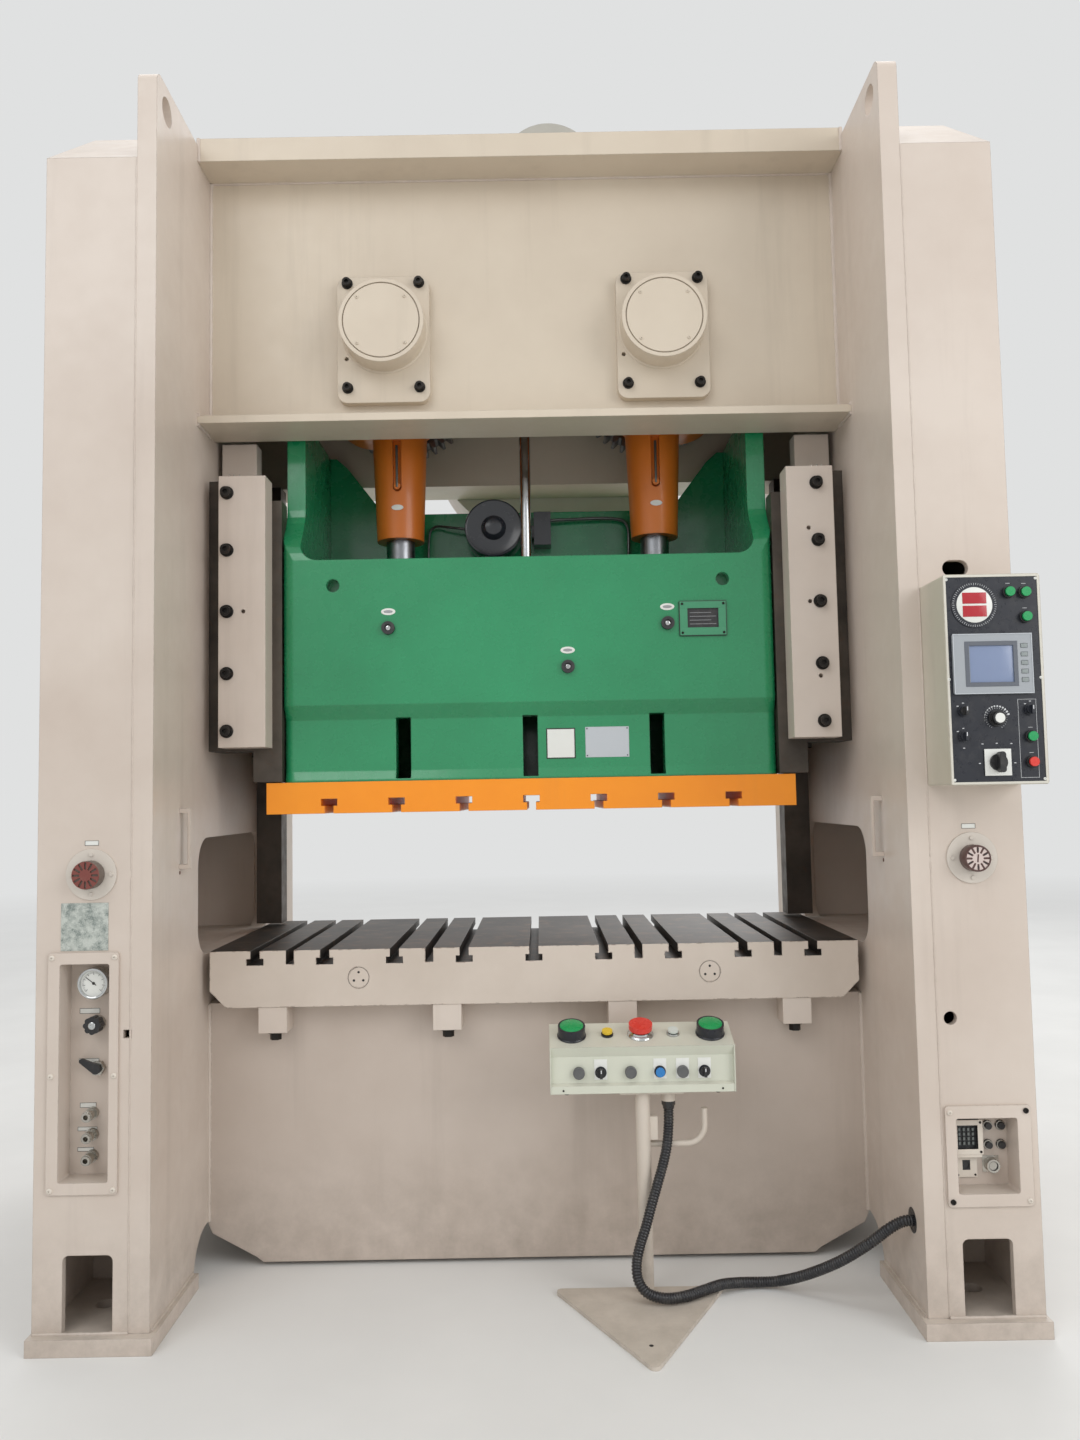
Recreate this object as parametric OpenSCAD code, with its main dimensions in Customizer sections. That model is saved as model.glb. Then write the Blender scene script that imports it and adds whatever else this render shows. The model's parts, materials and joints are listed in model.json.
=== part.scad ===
/* [Frame] */
// Clear width between the two uprights
inner_w = 1850; // [1810:5:1900]
// Thickness of the inner side plate of an upright
side_t = 50; // [40:1:60]
// Width of the box behind each inner side plate
column_w = 231; // [225:1:260]
// Thickness of the other plates of the upright
column_wall = 20; // [14:1:26]
// Depth of the uprights, front to back
frame_d = 1520; // [1480:10:1600]
// Height of the inner side plates
frame_h = 3178; // [3160:1:3240]
// Height of the column's front edge, where its roof starts to slope
eave_h = 2945; // [2900:5:3000]
// Depth of the sloped part of the column's roof
roof_run = 300; // [240:10:360]
// Radius of the lifting bores
lug_r = 37; // [30:1:42]
// Thickness of the foot plates
foot_t = 40; // [30:1:50]
// Length of one foot plate, front to back
foot_l = 357; // [340:1:380]
// Radius of the anchor holes in the foot plates
anchor_r = 25; // [15:1:30]
// Height of the arch between the feet
arch_h = 125; // [100:1:140]
// Side window, front to back
window_l = 800; // [700:10:840]
// Side window, lower edge
window_z = 870; // [860:1:900]
// Side window, height
window_h = 325; // [280:5:360]
// Foot door opening, width
door_w = 120; // [100:1:140]
// Foot door opening, top edge
door_top = 222; // [200:1:240]

/* [Crown] */
// Underside of the crown's bottom flange
crown_z = 2364; // [2362:1:2380]
// Underside of the crown's top flange
crown_top_z = 3132; // [3100:1:3140]
// Top of the crown
crown_h = 3200; // [3180:1:3220]
// Front face of the crown's web, from the centre
web_y = 304; // [300:1:312]
// Thickness of the crown's webs
web_t = 50; // [40:1:52]
// Front edge of the flanges, from the centre
flange_y = 424; // [400:1:440]
// Thickness of the bottom flange
flange_t = 22; // [16:1:30]

/* [Bed and bolster] */
// Front face of the bed, from the centre
bed_y = 297; // [280:1:300]
// Lowest edge of the bed
bed_z = 12; // [8:1:30]
// Clearance between the bolster and each upright
bolster_gap = 25; // [22:1:35]
// Depth of the bolster
bolster_d = 750; // [730:5:780]
// Underside of the bolster
bolster_z = 726; // [715:1:730]
// Thickness of the bolster
bolster_t = 155; // [140:1:157]
// Distance between T-slots
slot_pitch = 193.6; // [190:0.1:196]
// Width of a T-slot's neck
neck_w = 25.5; // [20:0.5:30]
// Width of a T-slot's head
head_w = 47; // [42:0.5:50]
// Height of a T-slot's head
head_t = 18; // [15:1:20]
// Depth of a T-slot's neck
neck_t = 22; // [18:1:26]
// Width of the plain slots
plain_w = 22; // [18:1:26]

/* [Slide] */
// Underside of the slide plate at rest, at the bottom of the stroke
slide_z = 1257; // [1250:1:1262]
// Thickness of the slide plate
plate_t = 90; // [80:1:94]
// Overhang of the slide plate beyond each side of the casting
plate_over = 46; // [36:1:56]
// Half depth of the slide plate
plate_y = 302; // [296:1:304]
// Clear width between the slide casting and each upright
slide_gap = 211; // [210:1:225]
// Front of the slide's upper face, from the centre
slide_y = 318; // [312:1:322]
// Wall of the slide casting
slide_wall = 54; // [44:1:58]
// Height of the slide's front wall
slide_top = 1990; // [1960:5:2000]
// Height of the slide's ears
ear_top = 2440; // [2400:5:2445]
// Stroke of the slide
stroke = 180; // [160:1:180]

/* [Drive] */
// Distance of each crankshaft from the centre
crank_x = 405; // [405:1:405]
// Height of the crankshafts
crank_z = 2660; // [2655:1:2680]
// Radius of the crank journals and pins
journal_r = 55; // [48:1:56]
// Radial clearance of the running fits
run_gap = 0.05; // [0.02:0.01:0.09]
// Module of the gears
gear_m = 10; // [10:1:10]
// Teeth of the main gears
main_teeth = 45; // [45:1:45]
// Teeth of the idler gears
idler_teeth = 18; // [18:1:18]
// Width of the gears
gear_w = 72; // [60:1:74]
// Radius of the flywheel
flywheel_r = 420; // [380:5:440]
// Width of the flywheel
flywheel_w = 170; // [150:1:180]
// Radius of the motor pulley
pulley_r = 90; // [80:1:110]
// Radius of the adjusting screws
screw_r = 45; // [36:1:50]
// Radius of the balance cylinder's chrome rod
balance_r = 17.5; // [14:0.5:20]

/* [Controls] */
// Width of the control box
box_w = 228; // [220:1:230]
// Height of the control box
box_h = 494; // [480:1:500]
// Depth of the control box
box_d = 152; // [130:1:170]
// Width of the two-hand console
console_w = 481; // [475:1:500]
// Depth of the two-hand console
console_d = 110; // [105:1:130]
// Radius of the console's post
post_r = 19; // [15:1:24]
// Outer diameter of the ribbed conduit
conduit_d = 27; // [20:1:30]
// Radial clearance around a button's stem
stem_gap = 0.1; // [0.05:0.05:0.3]

/* [Hidden] */
$fn = 48;
seat_gap = 0.3;
weld_gap = 0.3;
inner_x = inner_w / 2;
column_x = inner_x + side_t;
outer_x = column_x + column_w;
front_y = -frame_d / 2;
foot_out = 26;
foot_front = front_y - foot_out;
foot_inner = foot_front + foot_l;
foot_mid_y = foot_front + foot_l / 2 + 8;
foot_x0 = inner_x - 14;
foot_x1 = outer_x + 5;
anchor_x = column_x + column_w / 2;
arch_r = 110;
window_r = 80;
lug_y = front_y + 75;
lug_z = frame_h - 68;
door_x = column_x + 39;
ledge_z = window_z - 2;
bay_top = 1500;
bay_y = window_l / 2 - 10;
leg_z = foot_t + weld_gap;
box_x = column_x + weld_gap;
skin_x = outer_x - column_wall;
skin_y = -front_y - column_wall;
roof_z = frame_h - column_wall;
conduit_y = front_y + 87;
conduit_z = 236;
slot_z = bolster_z + bolster_t - neck_t - head_t;
bolster_top = bolster_z + bolster_t;
clamp_x = [-726, -243, 243, 726];
clamp_w = 79;
clamp_h = 71;
casting_z = slide_z + plate_t;
band_y = slide_y - 30;
ear_y = 230;
bolster_w = inner_w - 2 * bolster_gap;
slide_w = inner_w - 2 * slide_gap;
plate_w = slide_w + 2 * plate_over;
liner_x0 = slide_w / 2;
liner_w = 83;
liner_y = 306;
liner_d = 70;
liner_z = casting_z + 3;
liner_h = crown_z - stroke - 14 - liner_z;
gib_w = 133;
gib_gap = 50;
gib_x0 = inner_x - gib_gap - gib_w;
gib_z = 1447;
gib_h = 775;
gib_t = 79;
gib_y = liner_y + seat_gap;
seat_x0 = liner_x0 + liner_w + seat_gap;
gib_bolt_z = [1493, 1655.5, 1832, 2008, 2173];
gib_bolt_x = [74 - inner_x, inner_x - 98];
cover_w = 270;
cover_h = 378;
cover_t = 28;
drum_r = 122;
drum_out = 110;
throw = stroke / 2;
cheek_y = 92;
cheek_t = 40;
rod_y = 70;
rod_wall = 55;
rod_window = journal_r + 23;
barrel_r = 74;
barrel_top_r = 88;
barrel_z = 2110;
ball_drop = 50;
pocket_z = 1740;
screw_z = pocket_z + 10;
screw_l = 600;
pocket_y0 = slide_y - 60;
rear_wall_y = 170;
main_r = gear_m * main_teeth / 2;
idler_r = gear_m * idler_teeth / 2;
idler_x = crank_x - main_r - idler_r;
balance_x = -5;
adjust_x = -109;
adjust_z = 2160;
adjust_r = 93;
adjust_y = 24;
shaft_y = 62;
wheel_y = 450;
belt_y = wheel_y + 50;
belt_w = 60;
motor_z = 3400;
motor_r = 165;
console_x0 = 38;
console_y = -560;
console_z = 524;
console_face = 119;
console_rise = 39;
console_tilt = atan(console_rise / console_d);
stand_x = 279;
stand_y = -520;
face_y = front_y - box_d;
box_x0 = outer_x - box_w;
box_z0 = 1303;
box_inset = 22;
foot_bay_top = 300;
cover_x = crank_x + 4;

// Helpers

module both_x() {
    children();
    mirror([1, 0, 0]) children();
}

module both_y() {
    children();
    mirror([0, 1, 0]) children();
}

// A box between two corners
module block(a, b) {
    translate(a) cube(b - a);
}

// A flat outline in Y and Z, drawn out along X
module slab_x(x0, x1) {
    translate([x0, 0, 0]) rotate([90, 0, 90]) linear_extrude(x1 - x0) children();
}

// A flat outline in X and Z, drawn out along Y
module slab_y(y0, y1) {
    translate([0, y1, 0]) rotate([90, 0, 0]) linear_extrude(y1 - y0) children();
}

// A round bar along Y
module bar_y(x, z, r, y0, y1) {
    translate([x, y1, z]) rotate([90, 0, 0]) cylinder(r = r, h = y1 - y0);
}

// A round bar along X
module bar_x(y, z, r, x0, x1) {
    translate([x0, y, z]) rotate([0, 90, 0]) cylinder(r = r, h = x1 - x0);
}

// A rectangle with round corners, between two corners
module round_rect(a, b, r) {
    translate([a[0] + r, a[1]]) square([b[0] - a[0] - 2 * r, b[1] - a[1]]);
    translate([a[0], a[1] + r]) square([b[0] - a[0], b[1] - a[1] - 2 * r]);
    for (x = [a[0] + r, b[0] - r], y = [a[1] + r, b[1] - r])
        translate([x, y]) circle(r);
}

// Points of an arc about a centre on the X axis
function arc(x, r, from, to, n) = [for (i = [0:n]) let (a = from + (to - from) * i / n)
    [x + r * cos(a), r * sin(a)]];

// A round-ended strip between two circles on the X axis, with straight sides tangent to both
module link(r1, r2, d) {
    lean = acos((r1 - r2) / d);
    if (r1 == r2) {
        circle(r1);
        translate([d, 0]) circle(r1);
        translate([0, -r1]) square([d, 2 * r1]);
    } else {
        polygon(concat(arc(d, r2, -lean, lean, 24), arc(0, r1, lean, 360 - lean, 80)));
    }
}

// A hexagon bolt head with its washer, pointing to -Y
module bolt_head_y(x, y, z, r, h) {
    bar_y(x, z, r * 1.35, y - 4, y);
    difference() {
        bar_y(x, z, r, y - 4 - h, y - 4);
        translate([x, y - 4 - h * 0.5, z]) rotate([90, 0, 0])
            cylinder(r = r * 0.55, h = h, $fn = 6);
    }
}

// Point on the involute of a base circle
function involute(rb, t) = [
    rb * (cos(t) + t * PI / 180 * sin(t)),
    rb * (sin(t) - t * PI / 180 * cos(t))
];
function turned(p, a) = [p[0] * cos(a) - p[1] * sin(a), p[0] * sin(a) + p[1] * cos(a)];
function roll_at(rb, r) = r <= rb ? 0 : sqrt(r * r / (rb * rb) - 1) * 180 / PI;
function polar(p) = atan2(p[1], p[0]);

// Outline of a spur gear with a tooth on the X axis
module gear_outline(m, n, slack) {
    rp = m * n / 2;
    rb = rp * cos(20);
    ra = rp + m * 0.95;
    rf = rp - m * 1.2;
    steps = 4;
    half = 90 / n - slack / rp * 90 / PI;
    swing = polar(involute(rb, roll_at(rb, rp)));
    start = roll_at(rb, max(rb, rf));
    end = roll_at(rb, ra);
    side = [for (i = [0:steps]) turned(involute(rb, start + (end - start) * i / steps),
        -half - swing)];
    foot = [rf * cos(polar(side[0])), rf * sin(polar(side[0]))];
    right = concat([foot], side);
    left = [for (i = [len(right) - 1:-1:0]) [right[i][0], -right[i][1]]];
    tooth = concat(right, left);
    polygon([for (k = [0:n - 1]) each [for (p = tooth) turned(p, k * 360 / n)]]);
}

// Frame

// Side view of the inner side plate, with its rounded lifting corners
module side_plate_outline() {
    r = 28;
    y = frame_d / 2;
    polygon([[-y, leg_z], [-y, frame_h - r], [-y + r, frame_h], [y - r, frame_h],
        [y, frame_h - r], [y, leg_z]]);
    for (s = [-1, 1]) translate([s * (y - r), frame_h - r]) circle(r);
}

// Side view of the outer plate, which lies inside the front, rear and roof plates
module outer_plate_outline() {
    y = skin_y - weld_gap;
    flat_y = -front_y - roof_run;
    eave = eave_h - weld_gap;
    ridge = roof_z - weld_gap;
    polygon([[-y, leg_z], [-y, eave], [-flat_y, ridge], [flat_y, ridge], [y, eave], [y, leg_z]]);
}

module arch_outline() {
    y = -foot_inner;
    translate([-y, -1]) square([2 * y, arch_h - arch_r + 1]);
    translate([arch_r - y, -1]) square([2 * (y - arch_r), arch_h + 1]);
    for (s = [-1, 1]) translate([s * (y - arch_r), arch_h - arch_r]) circle(arch_r);
}

// Thick inner plate of an upright, with the side window and the lifting bores
module side_plate() {
    difference() {
        slab_x(inner_x, column_x) side_plate_outline();
        slab_x(inner_x - 1, column_x + 1) {
            arch_outline();
            round_rect([-window_l / 2, window_z], [window_l / 2, window_z + window_h], window_r);
        }
        both_y() bar_x(lug_y, lug_z, lug_r, inner_x - 1, column_x + 1);
    }
}

module outer_plate() {
    difference() {
        slab_x(skin_x, outer_x) outer_plate_outline();
        slab_x(skin_x - 1, outer_x + 1) arch_outline();
    }
}

// Front plate with its foot door; the rear one is its mirror image
module front_plate() {
    difference() {
        block([box_x, front_y, leg_z], [outer_x, -skin_y, eave_h - weld_gap]);
        slab_y(front_y - 1, 1 - skin_y)
            round_rect([door_x, foot_t - 30], [door_x + door_w, door_top], 15);
    }
}

// Sloped and flat plates of the column's roof
module roof_plates() {
    y = -front_y;
    flat_y = y - roof_run;
    both_y() slab_x(box_x, outer_x)
        polygon([[-y, eave_h], [-flat_y, frame_h], [-flat_y, roof_z], [-skin_y, eave_h]]);
    block([box_x, weld_gap - flat_y, roof_z], [outer_x, flat_y - weld_gap, frame_h]);
}

// A plate across the inside of the column's box
module rib(y0, y1, z0, z1) {
    block([box_x, y0, z0], [skin_x - weld_gap, y1, z1]);
}

// Floor, ceiling and end walls of the window bay, and the plates around the legs
module column_ribs() {
    in_y = skin_y - weld_gap;
    for (z = [ledge_z - column_wall, bay_top]) rib(-in_y, in_y, z, z + column_wall);
    both_y() {
        rib(-bay_y - column_wall, -bay_y, ledge_z + weld_gap, bay_top - weld_gap);
        rib(-in_y, foot_inner, foot_bay_top, foot_bay_top + column_wall);
        rib(foot_inner - column_wall, foot_inner, leg_z, foot_bay_top - weld_gap);
    }
    rib(foot_inner + weld_gap, -foot_inner - weld_gap, arch_h, arch_h + column_wall);
}

module foot_plate() {
    difference() {
        block([foot_x0, foot_front, 0], [foot_x1, foot_inner, foot_t]);
        translate([anchor_x, foot_mid_y, -1]) cylinder(r = anchor_r, h = foot_t + 2);
    }
}

// The right upright, welded from plates; the left one is its mirror image
module upright() {
    side_plate();
    outer_plate();
    both_y() front_plate();
    roof_plates();
    column_ribs();
    both_y() foot_plate();
    wall_handle();
}

// Small strap handle welded on the inner face of an upright
module wall_handle() {
    y = front_y + 205;
    x = inner_x - weld_gap;
    low = 1122;
    high = 1280;
    leg = 12;
    strap = 8;
    reach_in = 30;
    for (z = [low, high - leg])
        block([x - reach_in, y - strap, z], [x, y + strap, z + leg]);
    block([x - reach_in, y - strap, low], [x - reach_in + strap, y + strap, high]);
}

// Places on the columns' fronts, by their distance from the inner side plate
function at_left(d, z) = [-column_x - d, z];
function at_right(d, z) = [column_x + d, z];

// Sizes of the two recessed panels: low and high corner of the tray
air_tray = [at_left(171, 392), at_left(51, 909)];
socket_tray = [at_right(34, 328), at_right(181, 505)];
tray_d = 62;
tray_t = 4;

// The place that a recessed tray takes in the column's front
module tray_space(tray) {
    block([tray[0][0] - tray_t, front_y - 1, tray[0][1] - tray_t],
        [tray[1][0] + tray_t, front_y + tray_d + tray_t, tray[1][1] + tray_t]);
}

left_dial = at_left(98, 1125);
right_dial = at_right(102, 1127);
dial_stem = 9;

module left_upright() {
    color("#cdc1b5") difference() {
        mirror([1, 0, 0]) upright();
        tray_space(air_tray);
        block([-column_x - 18, front_y - 1, 730], [2 - column_x, front_y + 30, 750]);
        bar_y(left_dial[0], left_dial[1], dial_stem + stem_gap, front_y - 1, front_y + 60);
    }
}

module right_upright() {
    color("#cdc1b5") difference() {
        upright();
        tray_space(socket_tray);
        bar_y(column_x + 33, 742, 16, front_y - 1, front_y + 30);
        slab_y(front_y - 1, front_y + 30) translate([column_x + 81, 1843]) link(20, 20, 24);
        bar_y(right_dial[0], right_dial[1], dial_stem + stem_gap, front_y - 1, front_y + 60);
        bar_x(conduit_y, conduit_z, conduit_d / 2 + seat_gap, inner_x - 1, column_x + 1);
    }
}

// Webs, flanges and top plate of the crown
module crown() {
    web_in = web_y - web_t;
    color("#cfc3b3") {
        difference() {
            union() {
                both_y() block([-inner_x, -web_y, crown_z], [inner_x, -web_in, crown_top_z - weld_gap]);
                both_x() bar_y(idler_x, crank_z, journal_r + 40, web_y, web_y + 30);
            }
            for (x = [-crank_x, crank_x])
                bar_y(x, crank_z, journal_r + run_gap, -web_y - 1, web_y + 1);
            for (x = [-idler_x, idler_x])
                bar_y(x, crank_z, idler_shaft_r + run_gap, web_in - 1, web_y + 31);
        }
        both_y() {
            block([-inner_x, -flange_y, crown_top_z], [inner_x, -web_in, crown_h]);
            block([-inner_x, -flange_y, crown_z], [inner_x, -web_y - weld_gap, crown_z + flange_t]);
        }
        difference() {
            block([-inner_x, weld_gap - web_in, crown_top_z + 8], [inner_x, web_in - weld_gap, roof_plate_z]);
            translate([balance_x, 0, crown_top_z]) cylinder(r = balance_outer + 0.2, h = 50);
        }
        motor_foot(web_in);
    }
}

motor_base = 30;
roof_plate_z = crown_h - 30;

// Raised seat for the main motor, on the crown's top plate and rear flange
module motor_foot(web_in) {
    y0 = 96;
    rail_w = 60;
    deck = crown_h + motor_base - 10;
    for (x = [-130, 70]) slab_x(drive_x + x, drive_x + x + rail_w)
        polygon([[y0, roof_plate_z + weld_gap], [web_in, roof_plate_z + weld_gap],
            [web_in, crown_h + weld_gap], [flange_y, crown_h + weld_gap], [flange_y, deck], [y0, deck]]);
    block([drive_x - 150, y0, deck], [drive_x + 150, flange_y, crown_h + motor_base]);
}

// Bed between the uprights: front and rear plates, top plate and ribs
module bed() {
    cut_w = 156;
    cut_h = 110;
    wall = 50;
    top_t = 60;
    rib_z = 120;
    in_y = bed_y - wall - weld_gap;
    color("#cdc1b5") {
        difference() {
            both_y() block([-inner_x, -bed_y, bed_z], [inner_x, wall - bed_y, bolster_z]);
            both_x() slab_y(-bed_y - 1, bed_y + 1)
                polygon([[inner_x + 1, bed_z - 1], [inner_x - cut_w, bed_z - 1],
                    [inner_x - cut_w + 20, bed_z + 14], [inner_x - 12, bed_z + cut_h - 30],
                    [inner_x + 1, bed_z + cut_h]]);
        }
        block([-inner_x, -in_y, bolster_z - top_t], [inner_x, in_y, bolster_z]);
        for (x = [-clamp_x[3], clamp_x[1], clamp_x[2], clamp_x[3]])
            block([x - wall / 2, -in_y, rib_z], [x + wall / 2, in_y, bolster_z - top_t - weld_gap]);
    }
}

// Outline of a T-slot that opens upward at height z
module tee(x, z, neck, head) {
    translate([x - neck_w / 2, z - neck - 1]) square([neck_w, neck + 2]);
    translate([x - head_w / 2, z - neck - head]) square([head_w, head]);
}

module bolster() {
    half_w = bolster_w / 2;
    ring_x = 487;
    ring_z = bolster_z + 77;
    half_d = bolster_d / 2;
    chamfer = 46;
    color("#8d857b") difference() {
        slab_y(-half_d, half_d)
            polygon([[-half_w, bolster_z + chamfer], [-half_w, bolster_top], [half_w, bolster_top],
                [half_w, bolster_z + chamfer], [half_w - chamfer, bolster_z],
                [-half_w + chamfer, bolster_z]]);
        slab_y(-half_d - 1, half_d + 1)
            for (i = [-4:4]) tee(i * slot_pitch, bolster_top, neck_t, head_t);
        for (i = [-3.5, -1.5, 1.5, 3.5])
            block([i * slot_pitch - plain_w / 2, -half_d - 1, bolster_top - 38],
                [i * slot_pitch + plain_w / 2, half_d + 1, bolster_top + 1]);
        for (x = [-ring_x, ring_x]) difference() {
            bar_y(x, ring_z, 30, -half_d - 1, -half_d + 2);
            bar_y(x, ring_z, 28, -half_d - 2, -half_d + 3);
        }
    }
}

module bolster_clamps() {
    color("#cdc1b5") both_y() for (x = clamp_x) difference() {
        block([x - clamp_w / 2, -bed_y - 76, bolster_z - clamp_h], [x + clamp_w / 2, -bed_y, bolster_z]);
        translate([x, -bed_y - 38, bolster_z - clamp_h - 1]) cylinder(r = 13, h = clamp_h + 2);
    }
}

module frame_bolts() {
    color("#2b2a29") {
        for (i = [0, 1], z = gib_bolt_z)
            bolt_head_y(gib_bolt_x[i], -gib_y - gib_t, z, 14, 18);
        mirror([0, 1, 0]) for (i = [0, 1], z = gib_bolt_z)
            bolt_head_y(gib_bolt_x[i], -gib_y - gib_t, z, 14, 18);
        for (s = [-1, 1], x = [-1, 1], z = [-1, 1])
            bolt_head_y(s * cover_x + x * 105, -web_y - cover_t, crank_z + z * 157 - 11, 12, 16);
        both_y() for (x = clamp_x) translate([x, -bed_y - 38, bolster_z - clamp_h]) {
            translate([0, 0, -6]) cylinder(r = 22, h = 6);
            translate([0, 0, -24]) cylinder(r = 16, h = 18, $fn = 6);
            translate([0, 0, 0]) cylinder(r = 12, h = clamp_h);
        }
    }
}

// Welded seats that carry the gibs, and the long guide bars at the back
module gib_seats() {
    seat_d = 140;
    bar_in = inner_x - 83;
    z0 = gib_z - 7;
    z1 = gib_z + gib_h + 8;
    color("#5c564f") both_x() {
        block([seat_x0, -gib_y, z0], [inner_x, -gib_y + seat_d, z1]);
        block([seat_x0, gib_y - seat_d, z0], [inner_x, ear_y - weld_gap, z1]);
        block([seat_x0, ear_y, z0], [bar_in - weld_gap, gib_y, z1]);
        block([bar_in, ear_y, bolster_top + 9], [inner_x, gib_y, crown_z]);
    }
}

// Gib blocks with their pin holes, and the blocks above their seats
module gib_blocks() {
    face = -gib_y - gib_t;
    color("#c9bdb1") {
        difference() {
            both_x() both_y() block([gib_x0, face, gib_z], [gib_x0 + gib_w, -gib_y, gib_z + gib_h]);
            for (p = [[-gib_x0 - 63, 1832], [gib_x0 + 60, 2043], [gib_x0 + 57, 1832],
                [gib_x0 + 80, 1620]])
                bar_y(p[0], p[1], 6, face - 1, face + 25);
        }
        both_x() block([seat_x0 + 9, -ear_y, gib_z + gib_h + 8 + weld_gap], [inner_x - 16, 60 - ear_y, crown_z]);
    }
}

module bearing_covers() {
    lid_r = 108;
    color("#cfc3b3") {
        for (side = [-1, 1]) let (x = side * crank_x, middle = side * cover_x) difference() {
            union() {
                slab_y(-web_y - cover_t, -web_y)
                    round_rect([middle - cover_w / 2, crank_z - 212],
                        [middle + cover_w / 2, crank_z - 212 + cover_h], 30);
                bar_y(x, crank_z, drum_r, -web_y - drum_out, -web_y);
            }
            difference() {
                bar_y(x, crank_z, lid_r + 3, -web_y - drum_out - 1, -web_y - drum_out + 6);
                bar_y(x, crank_z, lid_r, -web_y - drum_out - 2, -web_y - drum_out + 7);
            }
            bar_y(x, crank_z, journal_r + run_gap, -web_y - drum_out + 12, -web_y + 1);
            for (s = [-1, 1]) bar_y(x + s * 112, crank_z + s * 60 - 20, 6, -web_y - cover_t - 1, -web_y - 8);
        }
        for (x = [-crank_x, crank_x]) difference() {
            bar_y(x, crank_z, 110, web_y, web_y + 26);
            bar_y(x, crank_z, journal_r + run_gap, web_y - 1, web_y + 14);
        }
    }
}

// Air panel on the left column

module panel_tray(tray, edge) {
    difference() {
        union() {
            slab_y(front_y - 6, front_y)
                round_rect([tray[0][0] - edge[0], tray[0][1] - edge[1]],
                    [tray[1][0] + edge[2], tray[1][1] + edge[1]], 8);
            block([tray[0][0] - tray_t, front_y, tray[0][1] - tray_t],
                [tray[1][0] + tray_t, front_y + tray_d + tray_t, tray[1][1] + tray_t]);
        }
        slab_y(front_y - 7, front_y + tray_d) round_rect(tray[0], tray[1], 6);
    }
}

tray_back = front_y + tray_d;
regulator = at_left(104, 756);
valve = at_left(100, 648);
gauge = at_left(102, 858);
couplers = [for (z = [539, 488, 436]) at_left(114, z)];

module air_panel() {
    color("#cfc3b3") difference() {
        panel_tray(air_tray, [29, 28, 23]);
        bar_y(regulator[0], regulator[1], 7 + stem_gap, tray_back - 1, tray_back + tray_t + 1);
        bar_y(valve[0], valve[1], 7 + stem_gap, tray_back - 1, tray_back + tray_t + 1);
    }
}

module air_fittings() {
    color("#b9b6ae") {
        difference() {
            bar_y(gauge[0], gauge[1], 37, tray_back - 40, tray_back);
            bar_y(gauge[0], gauge[1], 32, tray_back - 41, tray_back - 34);
        }
        for (c = couplers) difference() {
            union() {
                bar_y(c[0], c[1], 15, tray_back - 12, tray_back);
                bar_y(c[0], c[1], 11, tray_back - 46, tray_back - 12);
                bar_y(c[0], c[1], 13, tray_back - 40, tray_back - 24);
            }
            bar_y(c[0], c[1], 6, tray_back - 47, tray_back - 20);
        }
        difference() {
            bar_y(regulator[0], regulator[1], 20, tray_back - 12, tray_back);
            bar_y(regulator[0], regulator[1], 7 + stem_gap, tray_back - 13, tray_back + 1);
        }
        difference() {
            translate([valve[0], tray_back, valve[1]]) rotate([90, 0, 0]) cylinder(r = 18, h = 16, $fn = 6);
            bar_y(valve[0], valve[1], 7 + stem_gap, tray_back - 17, tray_back + 1);
        }
    }
}

module dial_plates() {
    color("#d3cbc0") for (d = [left_dial, right_dial]) difference() {
        union() {
            bar_y(d[0], d[1], 62, front_y - 4, front_y);
            for (a = [0:90:270]) bar_y(d[0] + 48 * cos(a), d[1] + 48 * sin(a), 5, front_y - 7, front_y - 4);
        }
        bar_y(d[0], d[1], dial_stem + stem_gap, front_y - 5, front_y + 1);
    }
}

module socket_panel() {
    color("#cfc3b3") panel_tray(socket_tray, [26, 30, 33]);
}

// Placed from the low corner of the tray
module panel_sockets() {
    color("#3a3a3a") translate([socket_tray[0][0], 0, socket_tray[0][1]]) {
        difference() {
            slab_y(tray_back - 22, tray_back) round_rect([7, 80], [79, 159], 6);
            slab_y(tray_back - 23, tray_back - 10) round_rect([18, 91], [68, 148], 4);
        }
        difference() {
            bar_y(104, 49, 16, tray_back - 20, tray_back);
            bar_y(104, 49, 10, tray_back - 21, tray_back - 8);
        }
        difference() {
            slab_y(tray_back - 5, tray_back) round_rect([18, 21], [68, 76], 3);
            bar_y(42, 48, 9, tray_back - 6, tray_back - 2);
        }
        for (x = [99, 131], z = [96, 142]) {
            bar_y(x, z, 12, tray_back - 5, tray_back);
            bar_y(x, z, 8, tray_back - 14, tray_back - 5);
        }
    }
}

// Control box on the right column

face_t = 5;

// Places on the control box's face, from its low corner
function on_face(x, z) = [box_x0 + x, box_z0 + z];
speed = on_face(112, 154);
cam = on_face(110, 52);
cam_out = 33;
reach = cam_out - face_y;
face_buttons = [on_face(153, 450), on_face(190, 449), on_face(190, 391), on_face(190, 111),
    on_face(190, 52)];
upper_sel = on_face(36, 172);
lower_sel = on_face(34, 113);
group_sel = on_face(190, 173);
small_stem = 6;
screen = [on_face(15, 211), on_face(200, 352)];
readout = on_face(72, 421);

module control_box() {
    color("#c8c2b4") difference() {
        slab_y(face_y, front_y)
            round_rect([box_x0, box_z0], [box_x0 + box_w, box_z0 + box_h], 6);
        slab_y(face_y - 1, face_y + face_t)
            round_rect([box_x0 + 7, box_z0 + 7], [box_x0 + box_w - 7, box_z0 + box_h - 7], 3);
        block([box_x0 + box_inset, face_y, box_z0 + box_inset],
            [box_x0 + box_w - box_inset, front_y - box_inset, box_z0 + box_h - box_inset]);
    }
}

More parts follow.
